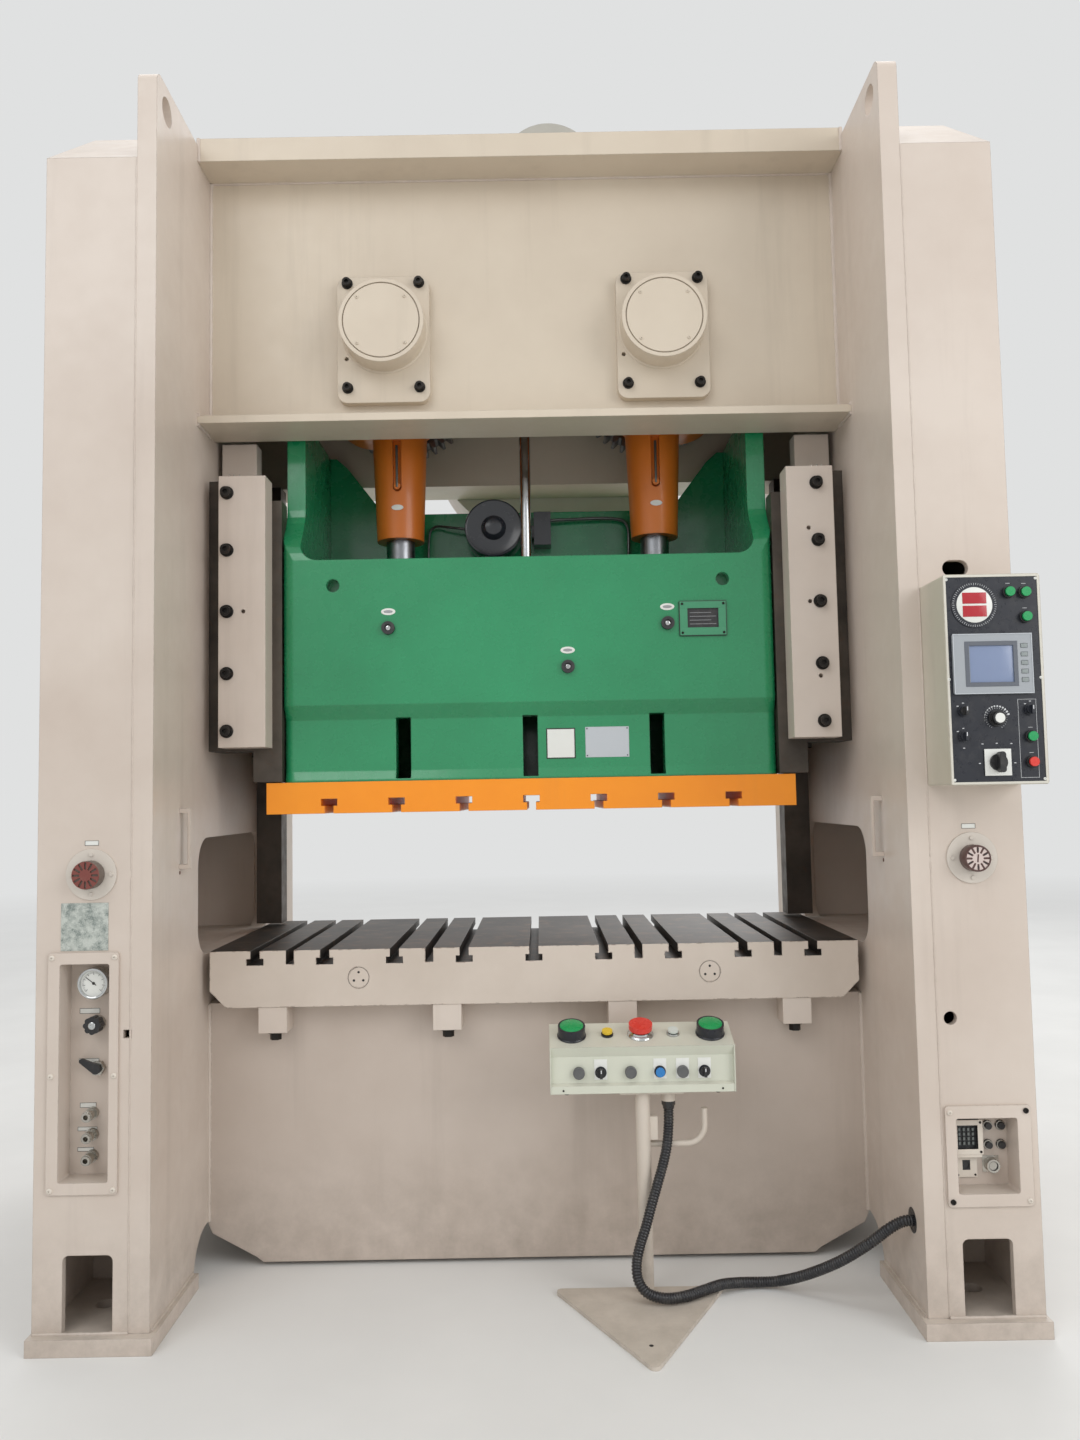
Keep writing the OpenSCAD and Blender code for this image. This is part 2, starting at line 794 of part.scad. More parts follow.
module control_face() {
    color("#1d2026") difference() {
        union() {
            slab_y(face_y, face_y + face_t)
                round_rect([box_x0 + 7, box_z0 + 7], [box_x0 + box_w - 7, box_z0 + box_h - 7], 3);
            bar_y(readout[0], readout[1], 54, face_y - 2, face_y);
            for (b = face_buttons) bar_y(b[0], b[1], 14, face_y - 5, face_y);
            for (s = [upper_sel, lower_sel, group_sel]) bar_y(s[0], s[1], 13, face_y - 5, face_y);
            fixed_selector(lower_sel);
            fixed_selector(group_sel);
            slab_y(face_y - 3, face_y) round_rect([cam[0] - 29, cam[1] - 29], [cam[0] + 29, cam[1] + 29], 3);
        }
        for (b = face_buttons) bar_y(b[0], b[1], small_stem + stem_gap, face_y - 6, face_y + face_t + 1);
        bar_y(upper_sel[0], upper_sel[1], small_stem + stem_gap, face_y - 6, face_y + face_t + 1);
        bar_y(speed[0], speed[1], small_stem + stem_gap, face_y - 1, face_y + face_t + 1);
        bar_y(cam[0], cam[1], small_stem + stem_gap, face_y - 4, face_y + face_t + 1);
        slab_y(face_y - 3, face_y - 1)
            for (z = [-21, 3]) translate(readout + [-24, z]) square([48, 18]);
    }
}

// A selector that is one with the face
module fixed_selector(p) {
    bar_y(p[0], p[1], 10, face_y - 12, face_y - 5);
    block([p[0] - 3, face_y - 22, p[1] - 10], [p[0] + 3, face_y - 12, p[1] + 10]);
}

module touch_screen() {
    color("#9aa0a6") difference() {
        slab_y(face_y - 8, face_y) round_rect(screen[0], screen[1], 5);
        slab_y(face_y - 9, face_y - 5) round_rect(screen[0] + [38, 27], screen[1] - [38, 26], 1);
        for (i = [0:4]) slab_y(face_y - 9, face_y - 7)
            translate(screen[0] + [157, 26 + i * 20]) square([17, 11]);
    }
}

// Two-hand console

palm_x = [97, 463];
stop_x = 279;
yellow_x = 191;
lamp_x = 365;
row_z = 576;
row_blue = 324;
row_left_sel = 170;
row_right_sel = 440;
row_fixed = [113, 248, 383];
palm_stem = 10;
row_stem = 8;
row_stems = [row_blue, row_left_sel, row_right_sel];
top_stems = concat(palm_x, [stop_x, yellow_x, lamp_x]);
lip_h = 20;
cheek_w = 3;
collar = 5;
ring_r = 36;
ring_h = 30;
panel_in = 14;
panel_top = 92;
panel_y = console_y + panel_in;
row_y = panel_y - collar;

// Puts its children on the middle line of the console's slanted top, with +Z out of it
module on_top(x) {
    translate([x, console_y + console_d / 2, console_z + console_face + console_rise / 2])
        rotate([console_tilt, 0, 0]) children();
}

// Side view of the console between its cheeks: slanted top, undercut, front panel and lip
module console_outline() {
    y0 = console_y;
    polygon([[y0 + 2, console_z], [y0 + 2, console_z + lip_h], [y0 + panel_in, console_z + lip_h + 5],
        [y0 + panel_in, console_z + panel_top], [y0, console_z + console_face],
        [y0 + console_d, console_z + console_face + console_rise], [y0 + console_d, console_z]]);
}

// Side view of one end cheek, which covers the undercut
module cheek_outline() {
    y0 = console_y;
    polygon([[y0, console_z], [y0, console_z + console_face],
        [y0 + console_d, console_z + console_face + console_rise], [y0 + console_d, console_z]]);
}

module console_box() {
    x1 = console_x0 + console_w;
    color("#d7d8cb") difference() {
        union() {
            slab_x(console_x0, x1) console_outline();
            slab_x(console_x0, console_x0 + cheek_w) cheek_outline();
            slab_x(x1 - cheek_w, x1) cheek_outline();
        }
        for (x = top_stems) on_top(x) translate([0, 0, -30]) cylinder(r = palm_stem + stem_gap, h = 45);
        for (x = row_stems) bar_y(x, row_z, row_stem + stem_gap, panel_y - 1, panel_y + 30);
    }
}

// Black collars of the buttons, the guard rings round the palm buttons, and the plugs
module console_collars() {
    color("#202124") difference() {
        union() {
            for (x = palm_x) on_top(x) difference() {
                cylinder(r = ring_r, h = ring_h);
                translate([0, 0, 5]) cylinder(r = ring_r - 4, h = ring_h);
            }
            for (x = [yellow_x, lamp_x]) on_top(x) cylinder(r = 16, h = 5);
            on_top(stop_x) cylinder(r = 24, h = 8);
            for (x = row_fixed) bar_y(x, row_z, 15, panel_y - 12, panel_y);
            for (x = row_stems) bar_y(x, row_z, 15, panel_y - collar, panel_y);
        }
        for (x = top_stems) on_top(x) translate([0, 0, -1]) cylinder(r = palm_stem + stem_gap, h = 45);
        for (x = row_stems) bar_y(x, row_z, row_stem + stem_gap, panel_y - collar - 1, panel_y + 1);
    }
}

hook_r = 8;

module console_stand() {
    base_t = 10;
    rear = -492;
    tip = -896;
    corner = 14;
    color("#d6cbbf") {
        difference() {
            union() {
                linear_extrude(base_t) hull() {
                    translate([46 + corner, rear - corner]) circle(corner, $fn = 32);
                    translate([476 - corner, rear - corner]) circle(corner, $fn = 32);
                    translate([262, tip + corner]) circle(corner, $fn = 32);
                }
                translate([stand_x, stand_y, base_t]) cylinder(r = post_r, h = console_z - base_t);
                block([stand_x - 60, stand_y - 30, console_z - 6], [stand_x + 105, stand_y + 45, console_z]);
                translate([349, -500, console_z - 34]) cylinder(r = 19, h = 34);
                block([stand_x + post_r - 4, stand_y - 5, 395], [stand_x + 38, stand_y + 5, 455]);
            }
            translate([349, -500, console_z - 35]) cylinder(r = conduit_d / 2 + 0.3, h = 24);
        }
        console_hook();
    }
}

// The bent rod that holds hoses beside the post
module console_hook() {
    bend = 48;
    y = stand_y + 14;
    bar_x(y, 380, hook_r, stand_x + post_r - 3, 394);
    translate([394, y, 380 + bend]) rotate([90, 90, 0]) rotate_extrude(angle = 90)
        translate([bend, 0]) circle(hook_r);
    translate([394 + bend, y, 380 + bend]) cylinder(r = hook_r, h = 42);
}

// Centre line of the conduit, from the console's gland to the hole in the upright
conduit_route = [
    [349, -500, 502], [349, -500, 470], [346, -514, 425], [338, -535, 380], [325, -544, 335],
    [309, -554, 290], [292, -560, 240], [276, -566, 190], [260, -568, 145], [250, -572, 102],
    [253, -582, 64], [275, -593, 38], [318, -598, 27], [370, -584, 25], [423, -552, 25],
    [475, -520, 25], [525, -500, 20], [575, -492, 17], [626, -504, 24], [688, -545, 56],
    [760, -600, 110], [824, -640, 168], [866, -664, 211], [896, -672, 231], [922, -673, 236],
    [944, -673, 236], [966, -673, 236]];

function unit(v) = v / norm(v);
function along(p, i) = unit(p[min(i + 1, len(p) - 1)] - p[max(i - 1, 0)]);
function ring(c, d, r, n) =
    let (side = unit(cross(d, [0.3, 1, 0.1])), up = cross(side, d))
    [for (k = [0:n - 1]) c + r * (cos(k * 360 / n) * side + sin(k * 360 / n) * up)];

// A tube along a route, as one closed solid
module tube(route, r, n) {
    count = len(route);
    points = [for (i = [0:count - 1]) each ring(route[i], along(route, i), r, n)];
    walls = [for (i = [0:count - 2], k = [0:n - 1]) let (a = i * n, b = a + n, j = (k + 1) % n)
        each [[a + k, a + j, b + j], [a + k, b + j, b + k]]];
    first = [for (k = [n - 1:-1:0]) k];
    last = [for (k = [0:n - 1]) (count - 1) * n + k];
    polyhedron(points, concat([first], walls, [last]));
}

module console_conduit() {
    color("#26262a") tube(conduit_route, conduit_d / 2, 10);
}

// Slide

// Front view of the slide's front wall between its two ears
module front_silhouette() {
    half = slide_w / 2;
    in = half - slide_wall;
    r = 50;
    difference() {
        translate([-half, casting_z]) square([2 * half, ear_top - casting_z]);
        translate([-in + r, slide_top]) square([2 * (in - r), ear_top]);
        translate([-in, slide_top + r]) square([2 * in, ear_top]);
        for (s = [-1, 1]) translate([s * (in - r), slide_top + r]) circle(r);
    }
}

// Front view of the slide's rear wall, with its wide shallow dip
module rear_silhouette() {
    half = slide_w / 2;
    ear = half - 74;
    dip = half - 234;
    polygon([[-half, casting_z], [-half, ear_top], [-ear, ear_top], [36 - ear, ear_top - 32],
        [-dip, 2246], [dip, 2246], [ear - 36, ear_top - 32], [ear, ear_top], [half, ear_top],
        [half, casting_z]]);
}

// Side view of the casting: the ears stand back from the faces to pass inside the crown
module slide_side() {
    sweep = 170;
    steps = 8;
    front = [for (i = [0:steps]) let (t = i / steps)
        [-slide_y + (slide_y - ear_y) * (1 - cos(180 * t)) / 2, slide_top + sweep * t]];
    back = [for (i = [steps:-1:0]) let (t = i / steps)
        [plate_y - (plate_y - ear_y) * (1 - cos(180 * t)) / 2, slide_top + sweep * t]];
    polygon(concat([[-slide_y, casting_z]], front, [[-ear_y, ear_top], [ear_y, ear_top]],
        back, [[plate_y, casting_z]]));
}

// Plan of the slide with rounded front corners
module slide_plan(y, r) {
    half = slide_w / 2;
    translate([-half, -y + r]) square([2 * half, y + plate_y - r]);
    translate([-half + r, -y]) square([2 * (half - r), 2 * r]);
    for (s = [-1, 1]) translate([s * (half - r), -y + r]) circle(r);
}

module slide_casting() {
    in = slide_w / 2 - slide_wall;
    low = 1526;
    high = 1567;
    color("#2f9464") difference() {
        union() {
            intersection() {
                union() {
                    slab_y(-slide_y, -100) front_silhouette();
                    slab_y(-100, rear_wall_y + 60) rear_silhouette();
                    both_x() block([in, 0, casting_z], [slide_w / 2, plate_y, ear_top]);
                }
                slab_x(-slide_w, slide_w) slide_side();
                union() {
                    translate([0, 0, high]) linear_extrude(ear_top - high) slide_plan(slide_y, 40);
                    translate([0, 0, casting_z - 1]) linear_extrude(low - casting_z + 1) slide_plan(band_y, 30);
                    hull() {
                        translate([0, 0, casting_z]) linear_extrude(6) slide_plan(band_y + 10, 34, $fn = 32);
                        translate([0, 0, casting_z + 30]) linear_extrude(0.1) slide_plan(band_y, 30, $fn = 32);
                    }
                    hull() {
                        translate([0, 0, low - 0.1]) linear_extrude(0.1) slide_plan(band_y, 30, $fn = 32);
                        translate([0, 0, high]) linear_extrude(0.1) slide_plan(slide_y, 40, $fn = 32);
                    }
                }
            }
            for (x = [-crank_x, crank_x]) translate([x, 0, pocket_z - 120]) cylinder(r = 140, h = 140);
        }
        difference() {
            block([-in, -pocket_y0, pocket_z], [in, rear_wall_y, ear_top + 1]);
            for (x = [-crank_x, crank_x]) translate([x, 0, pocket_z - 1]) cylinder(r = 140, h = 21);
        }
        difference() {
            block([-in, -band_y + 60, casting_z - 1], [in, rear_wall_y, pocket_z - 40]);
            for (x = [100 - in, -184, 184, in - 100])
                block([x - 18, -band_y, casting_z - 2], [x + 18, rear_wall_y + 1, pocket_z]);
            for (x = [-crank_x, crank_x]) translate([x, 0, pocket_z - 120]) cylinder(r = 140, h = 140);
        }
        for (x = [-367, 0, 367])
            block([x - 21.5, -band_y - 40, casting_z + 7], [x + 21.5, -band_y + 61, 1530]);
        for (x = [-564, 564]) bar_y(x, 1914, 19, -slide_y - 1, -slide_y + 40);
        for (x = [-crank_x, crank_x])
            translate([x, 0, screw_z - ball_drop - seat_gap]) cylinder(r = screw_r + 12, h = 200);
    }
}

module slide_plate() {
    color("#f09a22") difference() {
        block([-plate_w / 2, -plate_y, slide_z], [plate_w / 2, plate_y, casting_z]);
        translate([0, 0, 2 * slide_z]) mirror([0, 0, 1]) slab_y(-plate_y - 1, plate_y + 1)
            for (i = [-3:3]) tee(i * slot_pitch, slide_z, neck_t, head_t + 2);
    }
}

module slide_liners() {
    color("#85817a") both_x() both_y()
        block([liner_x0, -liner_y, liner_z], [liner_x0 + liner_w, -liner_y + liner_d, liner_z + liner_h]);
}

// One connecting rod on the centre, with the window of its big end to the side s
module rod(s) {
    pin_z = crank_z - throw;
    difference() {
        union() {
            translate([0, 0, barrel_z]) cylinder(r1 = barrel_r, r2 = barrel_top_r, h = 370);
            slab_y(-rod_y, rod_y) translate([0, pin_z]) scale([s, 1]) link(rod_window + rod_wall, rod_window + rod_wall, throw);
        }
        slab_y(-rod_y - 60, rod_y + 60) translate([0, pin_z]) scale([s, 1]) link(rod_window, rod_window, throw);
        translate([0, 0, barrel_z - 1]) cylinder(r = screw_r + 0.2, h = 280);
        block([-13, -120, 2269], [13, -66, 2420]);
        bar_y(0, 2269, 13, -120, -66);
    }
    bar_y(0, 2272, 11, -86, -66);
}

module connecting_rods() {
    color("#bb6128") {
        translate([-crank_x, 0, 0]) rod(-1);
        translate([crank_x, 0, 0]) rod(1);
    }
}

module adjusting_screws() {
    color("#8f9296") for (x = [-crank_x, crank_x]) translate([x, 0, screw_z]) {
        cylinder(r = screw_r, h = screw_l);
        difference() {
            translate([0, 0, -10]) sphere(r = screw_r + 10);
            translate([0, 0, -ball_drop - 60]) cube([200, 200, 120], center = true);
        }
    }
}

// Gear housings of the adjusting screws, their cross shaft and the adjusting motor
module adjust_drive() {
    shaft_r = 16;
    shaft_z = pocket_z + 110;
    housing_z = pocket_z + 20;
    housing_h = 190;
    boss_x = crank_x - 130;
    color("#33363c") {
        both_x() difference() {
            union() {
                translate([crank_x, 0, housing_z]) cylinder(r = 120, h = housing_h);
                bar_x(shaft_y, shaft_z, shaft_r + 10, boss_x, crank_x - 90);
            }
            translate([crank_x, 0, housing_z - 1]) cylinder(r = screw_r + 12, h = housing_h + 2);
        }
        bar_x(shaft_y, shaft_z, shaft_r, seat_gap - boss_x, boss_x - seat_gap);
        difference() {
            union() {
                bar_y(adjust_x, adjust_z, adjust_r, adjust_y, 120);
                bar_y(adjust_x, adjust_z, 70, 120, rear_wall_y);
                block([20, 100, adjust_z - 40], [76, rear_wall_y, adjust_z + 70]);
                block([adjust_x + 60, 125, adjust_z - 10], [20, 160, adjust_z + 30]);
                block([adjust_x - 30, shaft_y - 30, shaft_z - 25], [adjust_x + 30, shaft_y + 30, adjust_z]);
            }
            bar_x(shaft_y, shaft_z, shaft_r + seat_gap, adjust_x - 31, adjust_x + 31);
            difference() {
                bar_y(adjust_x, adjust_z, adjust_r - 7, adjust_y - 1, adjust_y + 4);
                bar_y(adjust_x, adjust_z, 34, adjust_y - 2, adjust_y + 5);
            }
        }
    }
}

balance_top = 2830;

module balance_rod() {
    color("#d6d8da") translate([balance_x, 0, 0]) {
        translate([0, 0, pocket_z]) cylinder(r = 50, h = 30);
        translate([0, 0, pocket_z]) cylinder(r = balance_r, h = balance_top - pocket_z);
        translate([0, 0, balance_top - 50]) cylinder(r = balance_bore - run_gap, h = 50);
    }
}

balance_bore = 48;
balance_outer = 58;
balance_z = 2740;

module balance_cylinder() {
    height = crown_h - 30 - balance_z;
    color("#6e7378") translate([balance_x, 0, balance_z]) difference() {
        union() {
            cylinder(r = balance_outer, h = height - 2);
            cylinder(r = balance_outer + 14, h = 22);
            translate([0, 0, height - 52]) cylinder(r = balance_outer + 14, h = 22);
        }
        translate([0, 0, 30]) cylinder(r = balance_bore, h = height - 52);
        translate([0, 0, -1]) cylinder(r = balance_r + run_gap, h = 40);
    }
}

module slide_fittings() {
    color("#27282a") {
        for (p = [[-404, 1787], [402, 1787], [112, 1666]]) difference() {
            bar_y(p[0], p[1], 19, -slide_y - 12, -slide_y);
            bar_y(p[0], p[1], 10, -slide_y - 13, -slide_y - 6);
        }
        difference() {
            slab_y(-slide_y - 6, -slide_y) round_rect([435, 1748], [572, 1850], 3);
            slab_y(-slide_y - 7, -slide_y - 3) round_rect([459, 1772], [548, 1828], 2);
        }
    }
}

// Drive in the crown

idler_shaft_r = 32;
drive_x = idler_x;

// Crank throw with its gear; the crank pin points down at rest
module crank(phase) {
    pin_z = crank_z - throw;
    cover_in = web_y + drum_out - 14;
    color("#7c7f84") {
        difference() {
            union() {
                bar_y(0, crank_z, journal_r, -cover_in, -cheek_y - cheek_t);
                slab_y(-cheek_y - cheek_t, -cheek_y) translate([0, crank_z]) {
                    rotate(-90) link(100, 84, throw);
                    intersection() {
                        circle(150);
                        polygon([[0, 0], [150, 40], [150, 150], [-150, 150], [-150, 40]]);
                    }
                }
                bar_y(0, pin_z, journal_r, -cheek_y, cheek_y);
                slab_y(cheek_y, cheek_y + gear_w) translate([0, crank_z]) rotate(phase)
                    gear_outline(gear_m, main_teeth, 0.5);
                bar_y(0, crank_z, journal_r, cheek_y + gear_w, web_y + 12);
            }
            difference() {
                bar_y(0, crank_z, 195, cheek_y + gear_w - 18, cheek_y + gear_w + 1);
                bar_y(0, crank_z, 90, cheek_y, cheek_y + gear_w + 2);
            }
            bar_y(0, crank_z, 14, -cover_in - 1, -cover_in + 40);
        }
    }
}

module left_crank() {
    translate([-crank_x, 0, 0]) crank(0);
}

module right_crank() {
    translate([crank_x, 0, 0]) crank(0);
}

module idler(x, phase, shaft_end) {
    color("#8a8d92") {
        difference() {
            slab_y(cheek_y, cheek_y + gear_w) translate([x, crank_z]) rotate(phase)
                gear_outline(gear_m, idler_teeth, 0.5);
            bar_y(x, crank_z, 20, cheek_y - 1, cheek_y + 10);
        }
        bar_y(x, crank_z, idler_shaft_r, cheek_y + gear_w, shaft_end);
    }
}

module idler_shaft() {
    idler(-idler_x, 180 / idler_teeth, web_y + 40);
}

clutch_y = wheel_y + flywheel_w;
brake_y = clutch_y + 150;
guard_y0 = flange_y + 6;
guard_y1 = clutch_y + 110;

module drive_shaft() {
    idler(drive_x, 0, reach - 20);
    color("#6d7075") for (y = [clutch_y + 14, clutch_y + 60, brake_y, brake_y + 40])
        bar_y(drive_x, crank_z, 150, y, y + 30);
}

module flywheel() {
    color("#5f6469") difference() {
        union() {
            bar_y(drive_x, crank_z, flywheel_r, wheel_y, wheel_y + flywheel_w);
            bar_y(drive_x, crank_z, 120, wheel_y - 10, clutch_y + 6);
        }
        difference() {
            union() {
                bar_y(drive_x, crank_z, flywheel_r - 70, wheel_y - 1, wheel_y + 35);
                bar_y(drive_x, crank_z, flywheel_r - 70, wheel_y + flywheel_w - 35, wheel_y + flywheel_w + 1);
            }
            bar_y(drive_x, crank_z, 120, wheel_y - 20, clutch_y + 20);
        }
        belt_groove(drive_x, crank_z, flywheel_r);
        bar_y(drive_x, crank_z, idler_shaft_r + run_gap, wheel_y - 11, clutch_y + 7);
    }
}

belt_depth = 12;

// The flat-bottomed groove that a wheel of radius r gives to the belts
module belt_groove(x, z, r) {
    difference() {
        bar_y(x, z, r + 1, belt_y - 1, belt_y + belt_w + 1);
        bar_y(x, z, r - belt_depth, belt_y - 2, belt_y + belt_w + 2);
    }
}

module motor_pulley() {
    color("#5f6469") difference() {
        union() {
            bar_y(drive_x, motor_z, pulley_r, belt_y - 12, belt_y + belt_w + 12);
            bar_y(drive_x, motor_z, 19, flange_y - 36, belt_y + belt_w + 20);
        }
        belt_groove(drive_x, motor_z, pulley_r);
    }
}

module drive_belts() {
    d = motor_z - crank_z;
    r1 = flywheel_r - belt_depth + seat_gap;
    r2 = pulley_r - belt_depth + seat_gap;
    color("#26262a") for (i = [0:2]) translate([0, belt_y + i * 20 + 3, 0]) slab_y(0, 14)
        translate([drive_x, crank_z]) rotate(90) difference() {
            link(r1 + 11, r2 + 11, d);
            link(r1, r2, d);
        }
}

module main_motor() {
    y0 = 100;
    y1 = flange_y - 30;
    color("#b7b4aa") difference() {
        union() {
            bar_y(drive_x, motor_z, motor_r - 14, y0, y1);
            for (a = [30, each [150:15:330]]) translate([drive_x, 0, motor_z]) rotate([0, a, 0])
                block([motor_r - 20, y0 + 50, -3], [motor_r, y1 - 10, 3]);
            bar_y(drive_x, motor_z, motor_r - 4, y0, y0 + 60);
            bar_y(drive_x, motor_z, motor_r - 40, y1, flange_y);
            for (x = [-120, 70])
                block([drive_x + x, y0 + 80, crown_h + motor_base], [drive_x + x + 50, y1 - 20, motor_z - 100]);
            block([drive_x + motor_r - 25, y0 + 110, motor_z - 60], [drive_x + motor_r + 50, y0 + 230, motor_z + 60]);
        }
        bar_y(drive_x, motor_z, 19 + run_gap, flange_y - 40, flange_y + 1);
    }
}

guard_wall = 6;

// Outline of the guard around the flywheel and the motor pulley, drawn in by inset
module guard_outline(inset) {
    translate([drive_x, crank_z]) rotate(90)
        link(flywheel_r + 34 - inset, pulley_r + 40 - inset, motor_z - crank_z);
}

// Guard in sheet metal: front plate, band, vented cover with the clutch cap, and brackets
module flywheel_guard() {
    cap_r = 190;
    cover_y = guard_y1 - guard_wall;
    bracket_w = 30;
    bracket_h = 60;
    color("#cfc3b3") {
        difference() {
            slab_y(guard_y0, guard_y0 + guard_wall) guard_outline(0);
            bar_y(drive_x, crank_z, idler_shaft_r + 20, guard_y0 - 1, guard_y0 + guard_wall + 1);
            bar_y(drive_x, motor_z, 60, guard_y0 - 1, guard_y0 + guard_wall + 1);
        }
        slab_y(guard_y0 + guard_wall + weld_gap, cover_y - weld_gap) difference() {
            guard_outline(0);
            guard_outline(guard_wall);
        }
        difference() {
            union() {
                slab_y(cover_y, guard_y1) guard_outline(0);
                bar_y(drive_x, crank_z, cap_r, guard_y1 - 1, reach);
            }
            bar_y(drive_x, crank_z, cap_r - guard_wall, cover_y - 1, reach - guard_wall);
            for (a = [0:30:330]) translate([drive_x, 0, crank_z]) rotate([0, a, 0])
                slab_y(cover_y - 1, guard_y1 + 1) translate([240, 0]) link(9, 9, 110);
        }
        for (x = [-90, 60], z = [3040]) guard_bracket(drive_x + x, z, bracket_w, bracket_h);
        for (x = [-300, 270], z = [2440]) guard_bracket(drive_x + x, z, bracket_w, bracket_h);
    }
}

module guard_bracket(x, z, w, h) {
    block([x, web_y, z], [x + w, guard_y0 - weld_gap, z + h]);
}

// Buttons, knobs and levers

// Mushroom cap on a stem, on the console's slanted top
module top_button(x, cap_r, cap_h, lift, stem) {
    on_top(x) {
        translate([0, 0, lift]) cylinder(r = cap_r, h = cap_h);
        translate([0, 0, -15]) cylinder(r = stem, h = lift + 15);
    }
}

module palm(x) {
    dome_r = 125;
    color("#1f8a4d") on_top(x) {
        translate([0, 0, 15]) cylinder(r = ring_r - 5, h = ring_h - 15);
        translate([0, 0, -15]) cylinder(r = palm_stem, h = 32);
        intersection() {
            translate([0, 0, ring_h + 4 - dome_r]) sphere(r = dome_r);
            translate([0, 0, ring_h - 1]) cylinder(r = ring_r - 5, h = 6);
        }
    }
}

module left_palm_button() {
    palm(palm_x[0]);
}

module right_palm_button() {
    palm(palm_x[1]);
}

module stop_button() {
    color("#c9302c") top_button(stop_x, 31, 14, 18, palm_stem);
}

module yellow_button() {
    color("#d8a92b") top_button(yellow_x, 14, 6, 8, palm_stem);
}

module lamp_button() {
    color("#cfd3cc") top_button(lamp_x, 14, 6, 8, palm_stem);
}

// Button on an upright face at y, with its cap to -Y
module face_button(p, y, cap_r, lift, cap_h, stem, depth) {
    bar_y(p[0], p[1], cap_r, y - lift - cap_h, y - lift);
    bar_y(p[0], p[1], stem, y - lift - 1, y + depth);
}

module blue_button() {
    color("#2d6fb0") face_button([row_blue, row_z], row_y, 12, 5, 6, row_stem, 26);
}

// Selector: a round collar with a finger bar across it
module selector(p, y, r, stem, depth) {
    bar_y(p[0], p[1], r, y - 8, y - seat_gap);
    block([p[0] - r * 0.3, y - 20, p[1] - r], [p[0] + r * 0.3, y - 8, p[1] + r]);
    bar_y(p[0], p[1], stem, y - 1, y + depth);
}

module left_console_selector() {
    color("#222326") selector([row_left_sel, row_z], row_y, 12, row_stem, 26);
}

module right_console_selector() {
    color("#222326") selector([row_right_sel, row_z], row_y, 12, row_stem, 26);
}

module upper_selector() {
    color("#222326") selector(upper_sel, face_y - 5, 10, small_stem, 18);
}

// Hand dial with finger slots on its face
module dial_knob(p, r) {
    difference() {
        union() {
            bar_y(p[0], p[1], r, front_y - 40, front_y - 4 - seat_gap);
            bar_y(p[0], p[1], dial_stem, front_y - 5, front_y + 50);
        }
        for (a = [0:30:330]) translate([p[0], 0, p[1]]) rotate([0, a, 0])
            slab_y(front_y - 41, front_y - 34) translate([r * 0.5, 0]) link(2.5, 2.5, r * 0.38);
    }
}

module left_dial_knob() {
    color("#7a3a33") dial_knob(left_dial, 33);
}

module right_dial_knob() {
    color("#cfc7ba") dial_knob(right_dial, 31);
}

module regulator_knob() {
    y = tray_back - 12 - seat_gap;
    color("#1e1e20") {
        slab_y(y - 26, y) translate(regulator) for (a = [0:45:315]) rotate(a) link(13, 7, 15);
        bar_y(regulator[0], regulator[1], 7, y - 1, tray_back + tray_t);
    }
}

module valve_lever() {
    y = tray_back - 16 - seat_gap;
    color("#26262a") {
        slab_y(y - 8, y) translate(valve) rotate(150) link(12, 6, 40);
        bar_y(valve[0], valve[1], 7, y - 1, tray_back + tray_t);
    }
}

module speed_knob() {
    color("#202226") {
        bar_y(speed[0], speed[1], 19, face_y - 5, face_y - seat_gap);
        bar_y(speed[0], speed[1], 15, face_y - 22, face_y - 5);
        bar_y(speed[0], speed[1], small_stem, face_y - 1, face_y + 18);
    }
}

module cam_switch() {
    y = face_y - 3;
    color("#202226") {
        bar_y(cam[0], cam[1], 20, y - 8, y - seat_gap);
        slab_y(face_y - cam_out, y - 8) translate([cam[0], cam[1] - 17]) rotate(90) link(7, 7, 34);
        bar_y(cam[0], cam[1], small_stem, y - 1, y + 20);
    }
}

module small_button(i, tint) {
    color(tint) face_button(face_buttons[i], face_y - 5, 11, 5, 6, small_stem, 18);
}

module power_button() {
    small_button(0, "#1f9a58");
}

module mode_button() {
    small_button(1, "#1f9a58");
}

module reset_button() {
    small_button(2, "#1f9a58");
}

module group_button() {
    small_button(3, "#1f9a58");
}

module red_button() {
    small_button(4, "#c9302c");
}

left_upright();
right_upright();
crown();
bed();
bolster();
bolster_clamps();
frame_bolts();
gib_seats();
gib_blocks();
bearing_covers();
balance_cylinder();
flywheel_guard();
main_motor();
drive_belts();
air_panel();
air_fittings();
dial_plates();
socket_panel();
panel_sockets();
control_box();
control_face();
touch_screen();
console_box();
console_stand();
console_conduit();
console_collars();
slide_casting();
slide_plate();
slide_liners();
connecting_rods();
adjusting_screws();
adjust_drive();
balance_rod();
slide_fittings();
left_crank();
right_crank();
idler_shaft();
drive_shaft();
flywheel();
motor_pulley();
left_palm_button();
right_palm_button();
stop_button();
yellow_button();
lamp_button();
blue_button();
left_console_selector();
right_console_selector();
left_dial_knob();
right_dial_knob();
regulator_knob();
valve_lever();
speed_knob();
cam_switch();
power_button();
mode_button();
reset_button();
group_button();
red_button();
upper_selector();
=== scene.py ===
import json
import math

import bmesh
import bpy
from mathutils import Matrix, Vector


